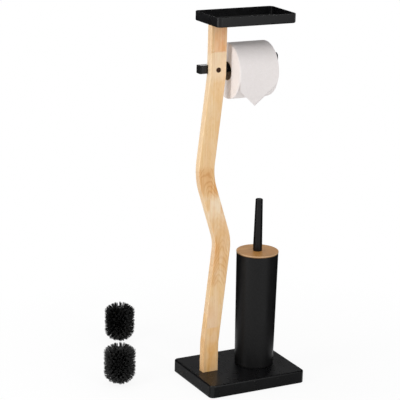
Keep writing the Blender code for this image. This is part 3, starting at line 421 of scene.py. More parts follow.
bamboo = Finish("lid_bamboo", (0.52, 0.28, 0.11), 0.42, 0.4)
x, y, z = bamboo.parts(bamboo.place())
slat = bamboo.maths("FLOOR", bamboo.maths("DIVIDE", y, SLAT_WIDTH))
slat_tone = bamboo.add("TexWhiteNoise", {"W": slat}, noise_dimensions="1D").outputs["Value"]
slat_place = {0: bamboo.maths("MULTIPLY", x, 18), 1: bamboo.maths("MULTIPLY", y, 1300), 2: slat}
strands = bamboo.noise(bamboo.add("CombineXYZ", slat_place).outputs[0], 1, 3)
node_place = bamboo.maths("MULTIPLY_ADD", x, 9, bamboo.maths("MULTIPLY", slat_tone, 7))
node_band = bamboo.maths("PINGPONG", node_place, 0.5)
tone = bamboo.ramp(slat_tone, (0.0, (0.47, 0.22, 0.054)), (0.5, (0.525, 0.262, 0.069)), (1.0, (0.585, 0.305, 0.088)))
tone = bamboo.blend(bamboo.ramp(strands, (0.4, 0.5), (0.62, 0.0)), tone, (0.36, 0.165, 0.055))
tone = bamboo.blend(bamboo.ramp(node_band, (0.0, 0.55), (0.022, 0.0)), tone, (0.30, 0.14, 0.05))
# Painted shade: the face is darkened towards its front.
painted_front_shade = bamboo.ramp(bamboo.share(y, lid_low.y, lid_high.y), (0.0, 1.0), (0.35, 0.0))
tone = bamboo.blend(painted_front_shade, tone, (0.74, 0.70, 0.66), "MULTIPLY")

lid_radius = (lid_high.x - lid_low.x) / 2
from_middle = bamboo.vector("SUBTRACT", bamboo.place(), ((lid_low.x + lid_high.x) / 2, 0, 0))
flat = {0: bamboo.vector("MULTIPLY", from_middle, (1, 1, 0))}
distance = bamboo.add("VectorMath", flat, operation="LENGTH").outputs["Value"]
# Painted light: a highlight on the upper half of the rim and painted shade on its lower half.
painted_rim_share = bamboo.share(distance, lid_radius - 1.3 * MM, lid_radius - 0.4 * MM)
up_the_edge = bamboo.share(z, lid_low.z, lid_high.z)
rim_highlight_and_shade = bamboo.ramp(up_the_edge, (0.3, (0.30, 0.155, 0.06)), (0.7, (0.56, 0.36, 0.195)))
bamboo.set("Base Color", bamboo.blend(painted_rim_share, tone, rim_highlight_and_shade))
bamboo.set("Roughness", bamboo.ramp(strands, (0.35, 0.5), (0.65, 0.36)))
bamboo.relief(strands, 0.03 * MM)
keep(bamboo)

# %% [markdown]
# ## Tissue paper and the card tube
#
# Toilet tissue is creped: tiny ridges run across the sheet, and an embossed pattern of soft dots holds the two
# plies together. Real dots would take a million faces, so the ridges and the dots are relief in the finish. A
# little sheen stands for the fuzz of loose fibres that catches the light at the edges.

# %% Tissue paper
roll_low, roll_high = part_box("toilet_roll")
tube_low, tube_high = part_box("roll_core")
roll_axis = (tube_low + tube_high) / 2
roll_radius = roll_high.z - roll_axis.z
print("roll:", round(2 * roll_radius / MM, 1), "mm across,", round((roll_high.x - roll_low.x) / MM, 1), "mm wide")

DOTS_TO_THE_METRE = 210
paper = Finish("roll_paper", (0.86, 0.83, 0.815), 0.95, 0.15)
flock = paper.noise(paper.place(), 900, 4)
crepe = paper.noise(paper.place(160, 900, 900), 1, 3)
mottle = paper.noise(paper.place(), 150, 3)
dots = {"Vector": paper.place(), "Scale": DOTS_TO_THE_METRE}
soft_dots = paper.add("TexVoronoi", dots, feature="SMOOTH_F1").outputs["Distance"]
tone = paper.ramp(flock, (0.3, (0.84, 0.788, 0.776)), (0.7, (0.905, 0.858, 0.846)))
paper.set("Base Color", paper.blend(paper.ramp(mottle, (0.35, 0.35), (0.65, 0.0)), tone, (0.81, 0.76, 0.74)))
paper.set("Sheen Weight", 0.15)
paper.relief(soft_dots, 0.25 * MM)
paper.relief(crepe, 0.08 * MM)
keep(paper)

# %% [markdown]
# The tube in the middle is grey-brown card, wound from a strip, so one seam runs round it as a helix. A real
# groove would need a mesh cut along that helix. The angle round the axis plus the place along it is constant on a
# helix, so the fraction of that sum finds the seam.

# %% Card of the tube
WINDINGS_TO_THE_METRE = 15
card = Finish("roll_cardboard", (0.42, 0.3, 0.19), 0.9, 0.2)
x, y, z = card.parts(card.place())
around = card.maths("ARCTAN2", card.maths("SUBTRACT", z, roll_axis.z), card.maths("SUBTRACT", y, roll_axis.y))
climb = card.maths("MULTIPLY", x, WINDINGS_TO_THE_METRE)
winding = card.maths("FRACT", card.maths("ADD", card.maths("DIVIDE", around, math.tau), climb))
seam = card.ramp(winding, (0.0, 1.0), (0.015, 0.0), (0.985, 0.0), (1.0, 1.0))
pulp = card.noise(card.place(260, 700, 700), 1, 4)
tone = card.ramp(pulp, (0.3, (0.36, 0.25, 0.155)), (0.7, (0.48, 0.355, 0.235)))
card.set("Base Color", card.blend(card.maths("MULTIPLY", seam, 0.6), tone, (0.2, 0.13, 0.08)))
card.relief(pulp, 0.05 * MM)
card.relief(seam, 0.15 * MM)
keep(card)

# %% [markdown]
# ## Hidden finishes
#
# Two more finishes show only when the stand is taken apart or turned over: the pressed board that gives the base
# its weight, and the plain steel of rod, screws, washers and nuts. Hidden parts could stay grey, but somebody will
# lift the brush out. The board is chips of wood under dust, and drawn steel has fine lines along its length.

# %% Weight board and plain steel
board = Finish("weight_board", (0.42, 0.31, 0.2), 0.9, 0.2)
chips = board.add("TexVoronoi", {"Vector": board.place(), "Scale": 380}).outputs["Color"]
dust = board.noise(board.place(), 700, 4)
tone = board.blend(0.35, board.ramp(dust, (0.3, (0.34, 0.245, 0.155)), (0.7, (0.5, 0.38, 0.25))), chips, "OVERLAY")
board.set("Base Color", tone)
board.relief(dust, 0.2 * MM)
keep(board)

steel = Finish("plain_steel", (0.55, 0.55, 0.56), 0.32, 0.5, 1)
lines = steel.noise(steel.place(2500, 2500, 60), 1, 2)
steel.set("Base Color", steel.ramp(lines, (0.35, (0.47, 0.47, 0.48)), (0.65, (0.6, 0.6, 0.61))))
steel.set("Roughness", steel.ramp(lines, (0.3, 0.24), (0.7, 0.42)))
steel.relief(lines, 0.01 * MM)
keep(steel)

# %% [markdown]
# ## Words for making shapes
#
# Nearly every part of the stand is one of three things: turned on a lathe, pressed or bent from sheet, or cut
# from a board. So three words make nearly all of it. Each takes an outline with a rounding at each corner,
# because no real edge is perfectly sharp, and the small rounds are what catch the light.

# %% Round the corners of an outline
ROUND_STEPS = 6


def softened(corners, steps=ROUND_STEPS):
    """Outline through corners of (u, v, rounding), with an arc in place of each corner that has a rounding."""
    line = []
    for index, (u, v, rounding) in enumerate(corners):
        here = Vector((u, v))
        if not rounding:
            line.append(here)
            continue
        before = Vector(corners[index - 1][:2])
        after = Vector(corners[(index + 1) % len(corners)][:2])
        into = (here - before).normalized()
        out = (after - here).normalized()
        half_turn = into.angle(out) / 2
        centre = here + (out - into).normalized() * rounding / math.cos(half_turn)
        first = (here - into * rounding * math.tan(half_turn) - centre).normalized()
        last = (here + out * rounding * math.tan(half_turn) - centre).normalized()
        line += [centre + first.slerp(last, step / steps) * rounding for step in range(steps + 1)]
    return line


def rectangle(length, depth, rounding, upper=None):
    """Outline of a rectangle about zero with rounded corners, anticlockwise."""
    sides = ((1, -1), (1, 1), (-1, 1), (-1, -1))
    return softened([(u * length / 2, v * depth / 2, rounding if v < 0 else upper or rounding) for u, v in sides])


print("a rounded rectangle has", len(rectangle(2, 1, 0.1)), "points")

# %% [markdown]
# A loft joins rings of points into a skin, and serves whatever keeps one section. A lathe, here a spin round Z,
# serves whatever is round. A pan is a loft as well: its wall's outline is walked once, and at each step the ring
# is a rectangle set in by as much. Modifiers could do the same to ready-made cubes and cylinders, but then the
# sizes would be spread over many settings.

# %% Loft, turn and press
def loft(rings, endless=False):
    """Body through rings of one point count: capped at both ends, or joined into an endless tube."""
    body = bmesh.new()
    loops = [[body.verts.new(point) for point in ring] for ring in rings]
    pairs = list(zip(loops, loops[1:]))
    if endless:
        pairs.append((loops[-1], loops[0]))
    else:
        body.faces.new(loops[0])
        body.faces.new(loops[-1])
    for lower, upper in pairs:
        for index in range(len(lower)):
            following = (index + 1) % len(lower)
            body.faces.new((lower[index], lower[following], upper[following], upper[index]))
    bmesh.ops.recalc_face_normals(body, faces=body.faces)
    return body


def turned(corners, sides=96):
    """Body turned about Z from corners of (radius, height, rounding). One that starts on the axis ends on it."""
    solid = corners[0][0] == 0
    body = bmesh.new()
    points = [body.verts.new((u, 0, v)) for u, v in softened(corners)]
    edges = [body.edges.new(pair) for pair in zip(points, points[1:])]
    if not solid:
        edges.append(body.edges.new((points[-1], points[0])))
    bmesh.ops.spin(
        body, geom=points + edges, cent=(0, 0, 0), axis=(0, 0, 1), angle=math.tau, steps=sides, use_merge=True
    )
    bmesh.ops.remove_doubles(body, verts=body.verts, dist=0.001 * MM)
    bmesh.ops.recalc_face_normals(body, faces=body.faces)
    return body


def pressed(length, depth, height, corner, sheet, bend):
    """Sheet pan pressed with its floor on zero and its walls up."""
    outer = sheet + bend
    rim = sheet / 2.1
    wall = [
        (outer + bend, 0, 0), (0, 0, outer), (0, height, rim),
        (sheet, height, rim), (sheet, sheet, bend), (outer + bend, sheet, 0),
    ]
    rings = []
    for inset, level in softened(wall):
        outline = rectangle(length - 2 * inset, depth - 2 * inset, corner - inset)
        rings.append([(u, v, level) for u, v in outline])
    return loft(rings)

# %% [markdown]
# Holes are drilled and housings are cut in the workshop, so here a boolean modifier takes one shape out of
# another. Its result is read back at once and the tools are deleted, so no cutter is left in the file.

# %% Move, turn and cut
def moved(body, place):
    bmesh.ops.translate(body, vec=place, verts=body.verts)
    return body


def spun(body, degrees, axis):
    bmesh.ops.transform(body, matrix=Matrix.Rotation(math.radians(degrees), 4, axis), verts=body.verts)
    return body


def as_object(name, body):
    mesh = bpy.data.meshes.new(name)
    body.to_mesh(mesh)
    body.free()
    made = bpy.data.objects.new(name, mesh)
    bpy.context.scene.collection.objects.link(made)
    return made


def cut_out(body, *cutters):
    """The body with the cutters taken out of it."""
    made = as_object("blank", body)
    tools = [as_object("tool", cutter) for cutter in cutters]
    for tool in tools:
        boolean = made.modifiers.new("cut", "BOOLEAN")
        boolean.object = tool
    bpy.context.view_layer.update()
    whole = bmesh.new()
    whole.from_object(made, bpy.context.evaluated_depsgraph_get())
    for scrap in (made, *tools):
        bpy.data.objects.remove(scrap, do_unlink=True)
    return whole

# %% [markdown]
# ## Putting a piece on the stand
#
# A finished piece has a finish, smooth shading between its sharp edges, a body that it moves with, and the solid
# that it stands in for. That could be set by hand for each, but one word does it alike for all, and nothing is
# forgotten. It prints how far the piece's box is from its solid's box. A weighted normal modifier keeps the flat
# faces flat beside the small rounds.

# %% Put a piece on the stand
SHARP_EDGE = math.radians(32)


def box_of(piece):
    corners = [piece.matrix_world @ Vector(corner) for corner in piece.bound_box]
    return Vector(map(min, *corners)), Vector(map(max, *corners))


def fit(name, body, slot, rides, node=None, flat=True, finish=None):
    """Make a piece of a body, finish it, and let it stand in for the solid it covers."""
    piece = as_object(name, body) if isinstance(body, bmesh.types.BMesh) else body
    piece.data.materials.append(FINISHES[finish or slot])
    piece.data.shade_smooth()
    if flat:
        piece.data.set_sharp_from_angle(angle=SHARP_EDGE)
        piece.modifiers.new("flat faces", "WEIGHTED_NORMAL").keep_sharp = True
    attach(piece, rides)
    if node:
        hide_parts(node)
        bpy.context.view_layer.update()
        off = max(abs(side) for mine, its in zip(box_of(piece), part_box(node)) for side in mine - its)
        print(f"{name}: {len(piece.data.polygons)} faces, {off / MM:.2f} mm from its solid's box")

# %% [markdown]
# ## The base
#
# The base is an upside-down pan of steel sheet, pressed with rounded upper edges and round corners, and powder
# coated. A flat board inside gives it weight. The pan could also be bent and welded, but then its corners would
# show a seam, and they don't. The post's two screws pass through it, so it has two holes under the post.

# %% Press the base
base_low, base_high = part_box("base_shell")
BASE_CORNER = 11 * MM
SHEET = 1.5 * MM
POST_Y = (post_low.y + post_high.y) / 2
POST_SCREW_SPACING = 18 * MM
SCREW_HOLE = 2.8 * MM


def peg(radius, bottom, top, place, sides=32):
    """Round tool for cutting a hole along Z."""
    return moved(turned([(0, bottom, 0), (radius, bottom, 0), (radius, top, 0), (0, top, 0)], sides), place)


def two_holes(radius, bottom, top):
    """Tools for the pair of screw holes in line with the post."""
    return [peg(radius, bottom, top, (POST_X + side * POST_SCREW_SPACING / 2, POST_Y, 0)) for side in (-1, 1)]


base_size = base_high - base_low
pan = pressed(base_size.x, base_size.y, base_size.z, BASE_CORNER, SHEET, 1.6 * MM)
pan = moved(spun(pan, 180, "X"), (0, 0, base_high.z))
pan = cut_out(pan, *two_holes(SCREW_HOLE, base_high.z - 4 * SHEET, base_high.z + SHEET))
fit("base_pan", pan, "black_powder_coat", "stand", "base_shell")

# %% [markdown]
# ## The wavy post
#
# The post is sawn from a wide glued board along a wavy line, so it keeps one width, and its edges are rounded
# over with a cutter. The wave is four arcs joined by straight lines. A curve object could draw it, but the same
# word that softens a corner also gives the arcs, so the line is worked out as points.

# %% Line of the wave
BEND_STEPS = 20


def wave_line():
    """Places and directions along the middle of the post."""
    corners = [(POST_X, post_low.z, 0)]
    corners += [(POST_X + side * POST_SWING, post_low.z + share * post_height, bend) for share, side, bend in WAVE]
    corners.append((POST_X, post_high.z, 0))
    line = [Vector(corners[0][:2])]
    for before, corner, after in zip(corners, corners[1:], corners[2:]):
        line += softened([(*before[:2], 0), corner, (*after[:2], 0)], BEND_STEPS)[1:-1]
    line.append(Vector(corners[-1][:2]))
    ways = [(after - before).normalized() for before, after in zip(line[:1] + line, line[1:] + line[-1:])]
    return list(zip(line, ways))


wave = wave_line()
swings = [place.x / MM for place, way in wave]
print("wave:", len(wave), "places from x =", round(min(swings), 1), "to", round(max(swings), 1), "mm")

# %% [markdown]
# The saw stands square to the board, and the cutter rounds all four long edges alike. So the section is a
# rectangle with rounded corners. It is carried along the line and turned at each place, so that it stays square
# to the line and the post keeps its width round the bends.

# %% Carry the section along the wave
POST_WIDTH = 37.5 * MM
EDGE_ROUND = 1.8 * MM
post_depth = post_high.y - post_low.y
section = rectangle(POST_WIDTH, post_depth, EDGE_ROUND)
rings = []
for place, way in wave:
    across = Vector((way.y, -way.x))
    rings.append([(place.x + across.x * u, POST_Y + v, place.y + across.y * u) for u, v in section])
post = loft(rings)
print("post:", len(post.faces), "faces before it is cut")

# %% [markdown]
# The back of the post has a flat-bottomed housing across it, where the square bar is let in, and one countersunk
# hole from the front for the screw that holds the bar. The tray's and the base's screws go into its two ends. All
# this could be worked into the loft, but its rings would lose their even count, so it is cut out afterwards.

# %% Cut the housing and the screw holes
bar_low, bar_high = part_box("holder_bar")
BAR_Z = (bar_low.z + bar_high.z) / 2
GAP = 0.3 * MM
BAR_SCREW_HOLE = 2.5 * MM
HEAD_DEPTH = 2.6 * MM
TRAY_SCREW_HOLE = 2.3 * MM
FOOT_HOLE_DEPTH = 38 * MM
TOP_HOLE_DEPTH = 27 * MM


def chunk(low, high):
    """Square-edged block between two corners."""
    outline = ((low[0], low[1]), (high[0], low[1]), (high[0], high[1]), (low[0], high[1]))
    return loft([[(u, v, level) for u, v in outline] for level in (low[2], high[2])])


housing = chunk(
    (POST_X - POST_WIDTH, bar_low.y - GAP, bar_low.z - GAP), (POST_X + POST_WIDTH, bar_high.y, bar_high.z + GAP)
)
head_radius = (screw_high.x - screw_low.x) / 2
sink = turned([
    (0, -post_depth, 0), (BAR_SCREW_HOLE, -post_depth, 0), (BAR_SCREW_HOLE, -HEAD_DEPTH, 0),
    (head_radius + GAP, -GAP, 0), (head_radius + GAP, MM, 0), (0, MM, 0),
], 48)
sink = moved(spun(sink, 90, "X"), (POST_X, post_low.y, BAR_Z))
post = cut_out(
    post, housing, sink,
    *two_holes(SCREW_HOLE, post_low.z - MM, post_low.z + FOOT_HOLE_DEPTH),
    *two_holes(TRAY_SCREW_HOLE, post_high.z - TOP_HOLE_DEPTH, post_high.z + MM),
)
fit("wavy_post", post, "pale_wood", "stand", "post")

# %% [markdown]
# ## The tray
#
# The tray is pressed from sheet like the base, the right way up, and coated with the same satin black. The word
# that pressed the base presses it too, with its own sizes. Two screws go down through its floor into the post.

# %% Press the tray
tray_low, tray_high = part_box("tray")
tray_size = tray_high - tray_low
tray_middle = (tray_low + tray_high) / 2
TRAY_SHEET = 1.8 * MM
tray = pressed(tray_size.x, tray_size.y, tray_size.z, 10 * MM, TRAY_SHEET, 1.4 * MM)
tray = moved(tray, (tray_middle.x, tray_middle.y, tray_low.z))
tray = cut_out(tray, *two_holes(TRAY_SCREW_HOLE, tray_low.z - MM, tray_low.z + 2 * TRAY_SHEET))
fit("shallow_tray", tray, "black_powder_coat", "stand", "tray")

# %% [markdown]
# The two screws have button heads with a six-sided socket. They could be left as plain buttons, as nobody sees
# them from far. But a key goes in there when the tray is taken off, and a boolean makes the socket in one line.
# The one screw in the front of the post is countersunk, so the same word makes both kinds of head.

# %% Screws in the tray
SOCKET_RADIUS = 0.48  # as shares of the head's radius and height
SOCKET_DEPTH = 0.62
BUTTON_ROUND = 1.6 * MM
TRAY_SHANK = 2 * MM
BAR_SHANK = 2.2 * MM


def socket_screw(head, rounding, shank, length, countersunk=False):
    """Screw with a six-sided socket: a button head seats on zero, and a countersunk one has its top on zero."""
    radius, height = head
    if countersunk:
        rim = [(radius, -GAP, 0), (radius, 0, GAP / 2), (0, 0, 0)]
        neck, top = -height, 0
    else:
        rim = [(radius, 0, 0.1 * MM), (radius, height, rounding), (0, height, 0)]
        neck, top = 0, height
    screw = turned([(0, -length, 0), (shank, -length + shank, 0), (shank, neck, 0), *rim], 48)
    reach = SOCKET_RADIUS * radius
    hexagon = [(reach * math.cos(side * math.pi / 3), reach * math.sin(side * math.pi / 3)) for side in range(6)]
    socket = loft([[(u, v, level) for u, v in hexagon] for level in (top - SOCKET_DEPTH * height, top + MM)])
    return cut_out(screw, socket)


for number in (1, 2):
    low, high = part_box(f"tray_screw_{number}")
    middle = (low + high) / 2
    seat = tray_low.z + TRAY_SHEET + GAP
    radius = (high.x - low.x) / 2
    screw = socket_screw((radius, high.z - seat), BUTTON_ROUND, TRAY_SHANK, seat - low.z)
    screw = moved(screw, (middle.x, middle.y, seat))
    fit(f"tray_bolt_{number}", screw, "black_screw", "stand", f"tray_screw_{number}")

# %% [markdown]
# ## The bar
#
# The roll's holder is a length of square steel tube, let into the back of the post. It could be a solid bar, but
# at its ends the thin wall would be missed. So the section is drawn twice, outside and inside, and the four rings
# are joined without an end. One hole in its front wall lets the screw in.

# %% Square tube
bar_side = bar_high.z - bar_low.z
BAR_Y = (bar_low.y + bar_high.y) / 2
WALL = 1.5 * MM
BAR_ROUND = 1.8 * MM
BORE = bar_side - 2 * WALL
BORE_ROUND = 0.5 * MM


def along_x(outline, x, lift=0):
    return [(x, BAR_Y + u, BAR_Z + lift + v) for u, v in outline]


outside = rectangle(bar_side, bar_side, BAR_ROUND)
inside = rectangle(BORE, BORE, BORE_ROUND)
walk = ((outside, bar_low.x), (outside, bar_high.x), (inside, bar_high.x), (inside, bar_low.x))
tube = loft([along_x(outline, level) for outline, level in walk], endless=True)
bolt_way = moved(spun(peg(BAR_SCREW_HOLE, -MM, 2 * WALL, (0, 0, 0)), -90, "X"), (POST_X, bar_low.y, BAR_Z))
fit("square_bar", cut_out(tube, bolt_way), "black_powder_coat", "stand", "holder_bar", finish="glossy_bar_coat")

# %% [markdown]
# The left end is closed by a plastic plug. The right end has a plate that stands up past the bar, so that the
# roll can't slide off. Both are a spigot inside the tube and a domed plate outside it, so one helper makes the
# rings of both. A bevel would round the plate too, but the dome is a quarter circle with a size of its own.

# %% Plug and stop in the ends of the tube
DOME = 0.7 * MM
PLATE_ROUND = 1.7 * MM
STOP_ROUND = 8 * MM
spigot = BORE - 2 * GAP


def end_rings(spigot_end, face, outer, rise=0, upper=PLATE_ROUND):
    """Rings of a spigot and of the domed plate outside it, which may stand up past the bar."""
    inward = math.copysign(DOME, face - outer)
    rings = [along_x(rectangle(spigot, spigot, BORE_ROUND), level) for level in (spigot_end, face)]
    for step in range(ROUND_STEPS + 1):
        turn = math.pi / 2 * step / ROUND_STEPS
        shrink = 2 * DOME * (1 - math.cos(turn))
        plate = rectangle(bar_side - shrink, bar_side + 2 * rise - shrink, PLATE_ROUND, upper)
        rings.append(along_x(plate, outer + inward * (1 - math.sin(turn)), rise))
    return rings


plug_low, plug_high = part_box("bar_end_cap")
rings = end_rings(plug_high.x, bar_low.x - GAP, plug_low.x)
fit("bar_plug", loft(rings), "black_plastic", "stand", "bar_end_cap")

stop_low, stop_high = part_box("bar_end_stop")
face = bar_high.x + GAP
rise = (stop_high.z - bar_high.z) / 2
rings = end_rings(stop_low.x, face, stop_high.x, rise, STOP_ROUND)
rings.insert(2, along_x(rectangle(bar_side, bar_side + 2 * rise, PLATE_ROUND, STOP_ROUND), face, rise))
fit("upturned_stop", loft(rings), "black_powder_coat", "stand", "bar_end_stop", finish="glossy_bar_coat")

# %% [markdown]
# One countersunk screw goes in through the front of the post and pulls the bar into its housing. It is brownish
# black in the photograph, so it has its own finish. A dark dot on the wood would do from afar, but its head and
# its socket each catch a little light.

# %% Screw in the front of the post
screw = socket_screw((head_radius, HEAD_DEPTH), 0, BAR_SHANK, screw_high.y - screw_low.y, countersunk=True)
screw = moved(spun(screw, 90, "X"), (POST_X, screw_low.y, BAR_Z))
fit("bar_bolt", screw, "black_screw", "stand", "bar_screw")

# %% [markdown]
# ## The toilet roll
#
# A toilet roll is one long sheet wound on a card tube. Its ends are not flat: each turn of the paper lies a hair
# further in or out than the last. A true spiral would need a very large mesh. So each end face is turned as fine
# rings with small seeded shifts, and the outside is pressed in a little by a slow noise, because tissue is soft.

# %% Wind the roll
TURNS = 46
END_WANDER = 0.22 * MM
PAPER_SHY = 0.5 * MM
TAIL_LAYER = 0.25 * MM
ROLL_EDGE = 2.5 * MM
PRESSED_IN = 0.5 * MM
LUMPS_ROUND, LUMPS_ALONG = 26, 18
wander = random.Random(11)
half_width = (roll_high.x - roll_low.x) / 2
tube_radius = tube_high.z - roll_axis.z
bore = tube_radius + GAP
wound_radius = roll_radius - PAPER_SHY - TAIL_LAYER


def end_face(side):
    """Corners of one wound end, from the bore out, with a soft round at the rim."""
    corners = []
    for number in range(TURNS + 1):
        radius = bore + (wound_radius - ROLL_EDGE - bore) * number / TURNS
        corners.append((radius, side * (half_width - END_WANDER * wander.random()), 0))
    for step in range(1, ROUND_STEPS + 1):
        turn = math.pi / 2 * step / ROUND_STEPS
        inset = END_WANDER + (ROLL_EDGE - END_WANDER) * (1 - math.cos(turn))
        corners.append((wound_radius - ROLL_EDGE * (1 - math.sin(turn)), side * (half_width - inset), 0))
    return corners


roll = turned(end_face(-1) + list(reversed(end_face(1))), 144)
for vert in roll.verts:
    radius = math.hypot(vert.co.x, vert.co.y)
    depth = max(0.0, (radius - bore) / (wound_radius - bore))
    soft = noise.noise(vert.co * Vector((LUMPS_ROUND, LUMPS_ROUND, LUMPS_ALONG)))
    press = 1 - depth ** 3 * PRESSED_IN * (0.5 + 0.5 * soft) / wound_radius
    vert.co.x *= press
    vert.co.y *= press
roll = moved(spun(roll, 90, "Y"), roll_axis)
fit("paper_roll", roll, "roll_paper", "roll", "toilet_roll")

# %% [markdown]
# The card tube fills the bore of the roll but for a hair, and the bar carries the roll by it. Its rims are cut
# square. An open cylinder with a solidify modifier would do, but turning the whole section also rounds its rims a
# little.

# %% Card tube
TUBE_BORE = 19 * MM
CUT_ROUND = 0.3 * MM
half_tube = (tube_high.x - tube_low.x) / 2
tube = turned([
    (TUBE_BORE, -half_tube, CUT_ROUND), (tube_radius, -half_tube, CUT_ROUND),
    (tube_radius, half_tube, CUT_ROUND), (TUBE_BORE, half_tube, CUT_ROUND),
], 128)
fit("card_tube", moved(spun(tube, 90, "Y"), roll_axis), "roll_cardboard", "roll", "roll_core")

# %% [markdown]
# ## The loose end of the paper
#
# The last sheet comes over the top of the roll, leaves it at the front and hangs straight down. Its two lower
# corners are folded in behind it, which leaves a point. A cloth simulation could hang it, but the photograph
# shows exactly how it lies. So each point of the sheet, given as (across, down), is carried onto a path over the
# roll. Where the sheet joins the wound paper it sinks in, and where it hangs free it bellies and curls a little.

# %% Path of the sheet over the roll
SHEET_START = math.radians(150)
TIP_DROP = 67.2 * MM
LEFT_DROP = 33 * MM
RIGHT_DROP = 25 * MM
TIP_SHARE = 0.404
SUNK, SUNK_RUN = 0.6 * MM, 15 * MM
BELLY, BELLY_WAVE, BELLY_RUN = 0.35 * MM, 70, 20 * MM
CURL = 2.2 * MM
RIM_RUN = 25 * MM
PULL_IN = 6.2 * MM
sheet_radius = wound_radius + 0.12 * MM
arc_length = SHEET_START * sheet_radius
tip_across = half_width * (2 * TIP_SHARE - 1)


def on_path(across, down, behind=0.0):
    """Point of the sheet: down is measured from where it leaves the roll, and is negative over the top."""
    past_rim = max(0, abs(across) - half_width + ROLL_EDGE)
    rim_drop = ROLL_EDGE - math.sqrt(ROLL_EDGE ** 2 - past_rim ** 2)
    if down < 0:
        turn = -down / sheet_radius
        sunk = SUNK * max(0, 1 - (arc_length + down) / SUNK_RUN)
        reach = sheet_radius - behind - sunk - rim_drop
        y, z = -reach * math.cos(turn), reach * math.sin(turn)
    else:
        belly = BELLY * math.sin(across * BELLY_WAVE + 1) * min(1, down / BELLY_RUN)
        curl = CURL * (down / TIP_DROP) ** 3 + rim_drop * max(0, 1 - down / RIM_RUN)
        right_share = max(0, (across - tip_across) / (half_width - tip_across))
        across -= PULL_IN * right_share * min(1, down / RIGHT_DROP) ** 2
        y, z = -sheet_radius + behind + curl + belly, -down
    return roll_axis + Vector((across, y, z))


def lower_edge(across):
    """How far down the folded sheet reaches at a place across it."""
    if across < tip_across:
        share = (across + half_width) / (tip_across + half_width)
        return LEFT_DROP + (TIP_DROP - LEFT_DROP) * share
    share = (half_width - across) / (half_width - tip_across)
    return RIGHT_DROP + (TIP_DROP - RIGHT_DROP) * share


print("sheet:", round(arc_length / MM), "mm over the roll, and hanging down up to", TIP_DROP / MM, "mm")

# %% [markdown]
# Now the paper itself, as a grid of points on that path. A ready-made grid has even columns. These stand closer
# at the two edges, where the sheet bends over the rims of the roll, and one runs exactly down to the point.

# %% Lay the sheet
COLUMNS = 48
TIP_COLUMN = 20
ROWS = 60
CROWDING = 0.6
SIDE_MARGIN = 0.4 * MM
edge = half_width - SIDE_MARGIN


def grid(body, point_at, columns, rows):
    """Faces over a grid of points, each given by two shares from 0 to 1."""
    verts = [[body.verts.new(point_at(c / columns, r / rows)) for c in range(columns + 1)] for r in range(rows + 1)]
    for upper, lower in zip(verts, verts[1:]):
        for c in range(columns):
            body.faces.new((upper[c], upper[c + 1], lower[c + 1], lower[c]))


def closer_first(share):
    """A share from 0 to 1 made to start slowly."""
    return (1 - CROWDING) * share + CROWDING * share ** 2


def across_at(u):
    """Place across the sheet, with columns closer at its two edges and one exactly at the tip."""
    share = u * COLUMNS / TIP_COLUMN
    if share <= 1:
        return -edge + (tip_across + edge) * closer_first(share)
    share = (1 - u) * COLUMNS / (COLUMNS - TIP_COLUMN)
    return edge - (edge - tip_across) * closer_first(share)


def main_sheet(u, v):
    across = across_at(u)
    down = -arc_length + v * (arc_length + lower_edge(across))
    return on_path(across, down)


loose = bmesh.new()
grid(loose, main_sheet, COLUMNS, ROWS)
print("sheet:", len(loose.faces), "faces")

# %% [markdown]
# Each folded corner is a small grid too: the mirror image of the missing corner, along the line that it is folded
# on, a hair behind the sheet. Its columns run together in one point, where they are merged. A modifier could bend
# the corner over, but not as flat as a pressed fold. A solidify modifier then gives the paper its thickness.

# %% Fold the corners behind it
FOLD_GRID = (20, 10)
FOLD_NEAR, FOLD_BEHIND, FOLD_RISE = 0.1 * MM, 0.45 * MM, 6
PAPER = 0.2 * MM
WELD = 0.01 * MM


def folded_corner(shoulder, tip):
    """Corner of the sheet turned in behind it along the line from a shoulder to the tip."""
    fold = (tip - shoulder).normalized()
    corner = Vector((shoulder.x, tip.y))
    inside = shoulder + 2 * fold * (corner - shoulder).dot(fold) - (corner - shoulder)

    def point_at(u, v):
        place = shoulder.lerp(tip, u).lerp(inside, v)
        return on_path(place.x, place.y, FOLD_NEAR + FOLD_BEHIND * min(1, v * FOLD_RISE))

    return point_at


tip = Vector((tip_across, TIP_DROP))
for shoulder in (Vector((-edge, LEFT_DROP)), Vector((edge, RIGHT_DROP))):
    grid(loose, folded_corner(shoulder, tip), *FOLD_GRID)
bmesh.ops.remove_doubles(loose, verts=loose.verts, dist=WELD)
bmesh.ops.dissolve_degenerate(loose, edges=loose.edges, dist=WELD)
sheet_area = sum(face.calc_area() for face in loose.faces)
loose_end = as_object("loose_end", loose)
thickness = loose_end.modifiers.new("thickness", "SOLIDIFY")
thickness.thickness = PAPER
thickness.offset = 0
fit("loose_end", loose_end, "roll_paper", "roll", flat=False)

# %% [markdown]
# ## The cup
#
# The cup is a tapered steel tube, wider at the top, with a floor set a little way up and its rim rolled smooth.
# A cylinder with a solidify modifier would have walls of one thickness and a flat foot. So it is turned from one
# outline that runs up the outside, over the rim and down the inside.

# %% Turn the cup
cup_low, cup_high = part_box("brush_cup")
cup_middle = (cup_low + cup_high) / 2
cup_place = Vector((cup_middle.x, cup_middle.y, 0))
CUP_TOP = (cup_high.x - cup_low.x) / 2
CUP_FOOT = 43.4 * MM
CUP_WALL = MM
cup_height = cup_high.z - cup_low.z


def cup_radius(height):
    """Outer radius of the taper at a height above the cup's foot."""
    return CUP_FOOT + (CUP_TOP - CUP_FOOT) * height / cup_height


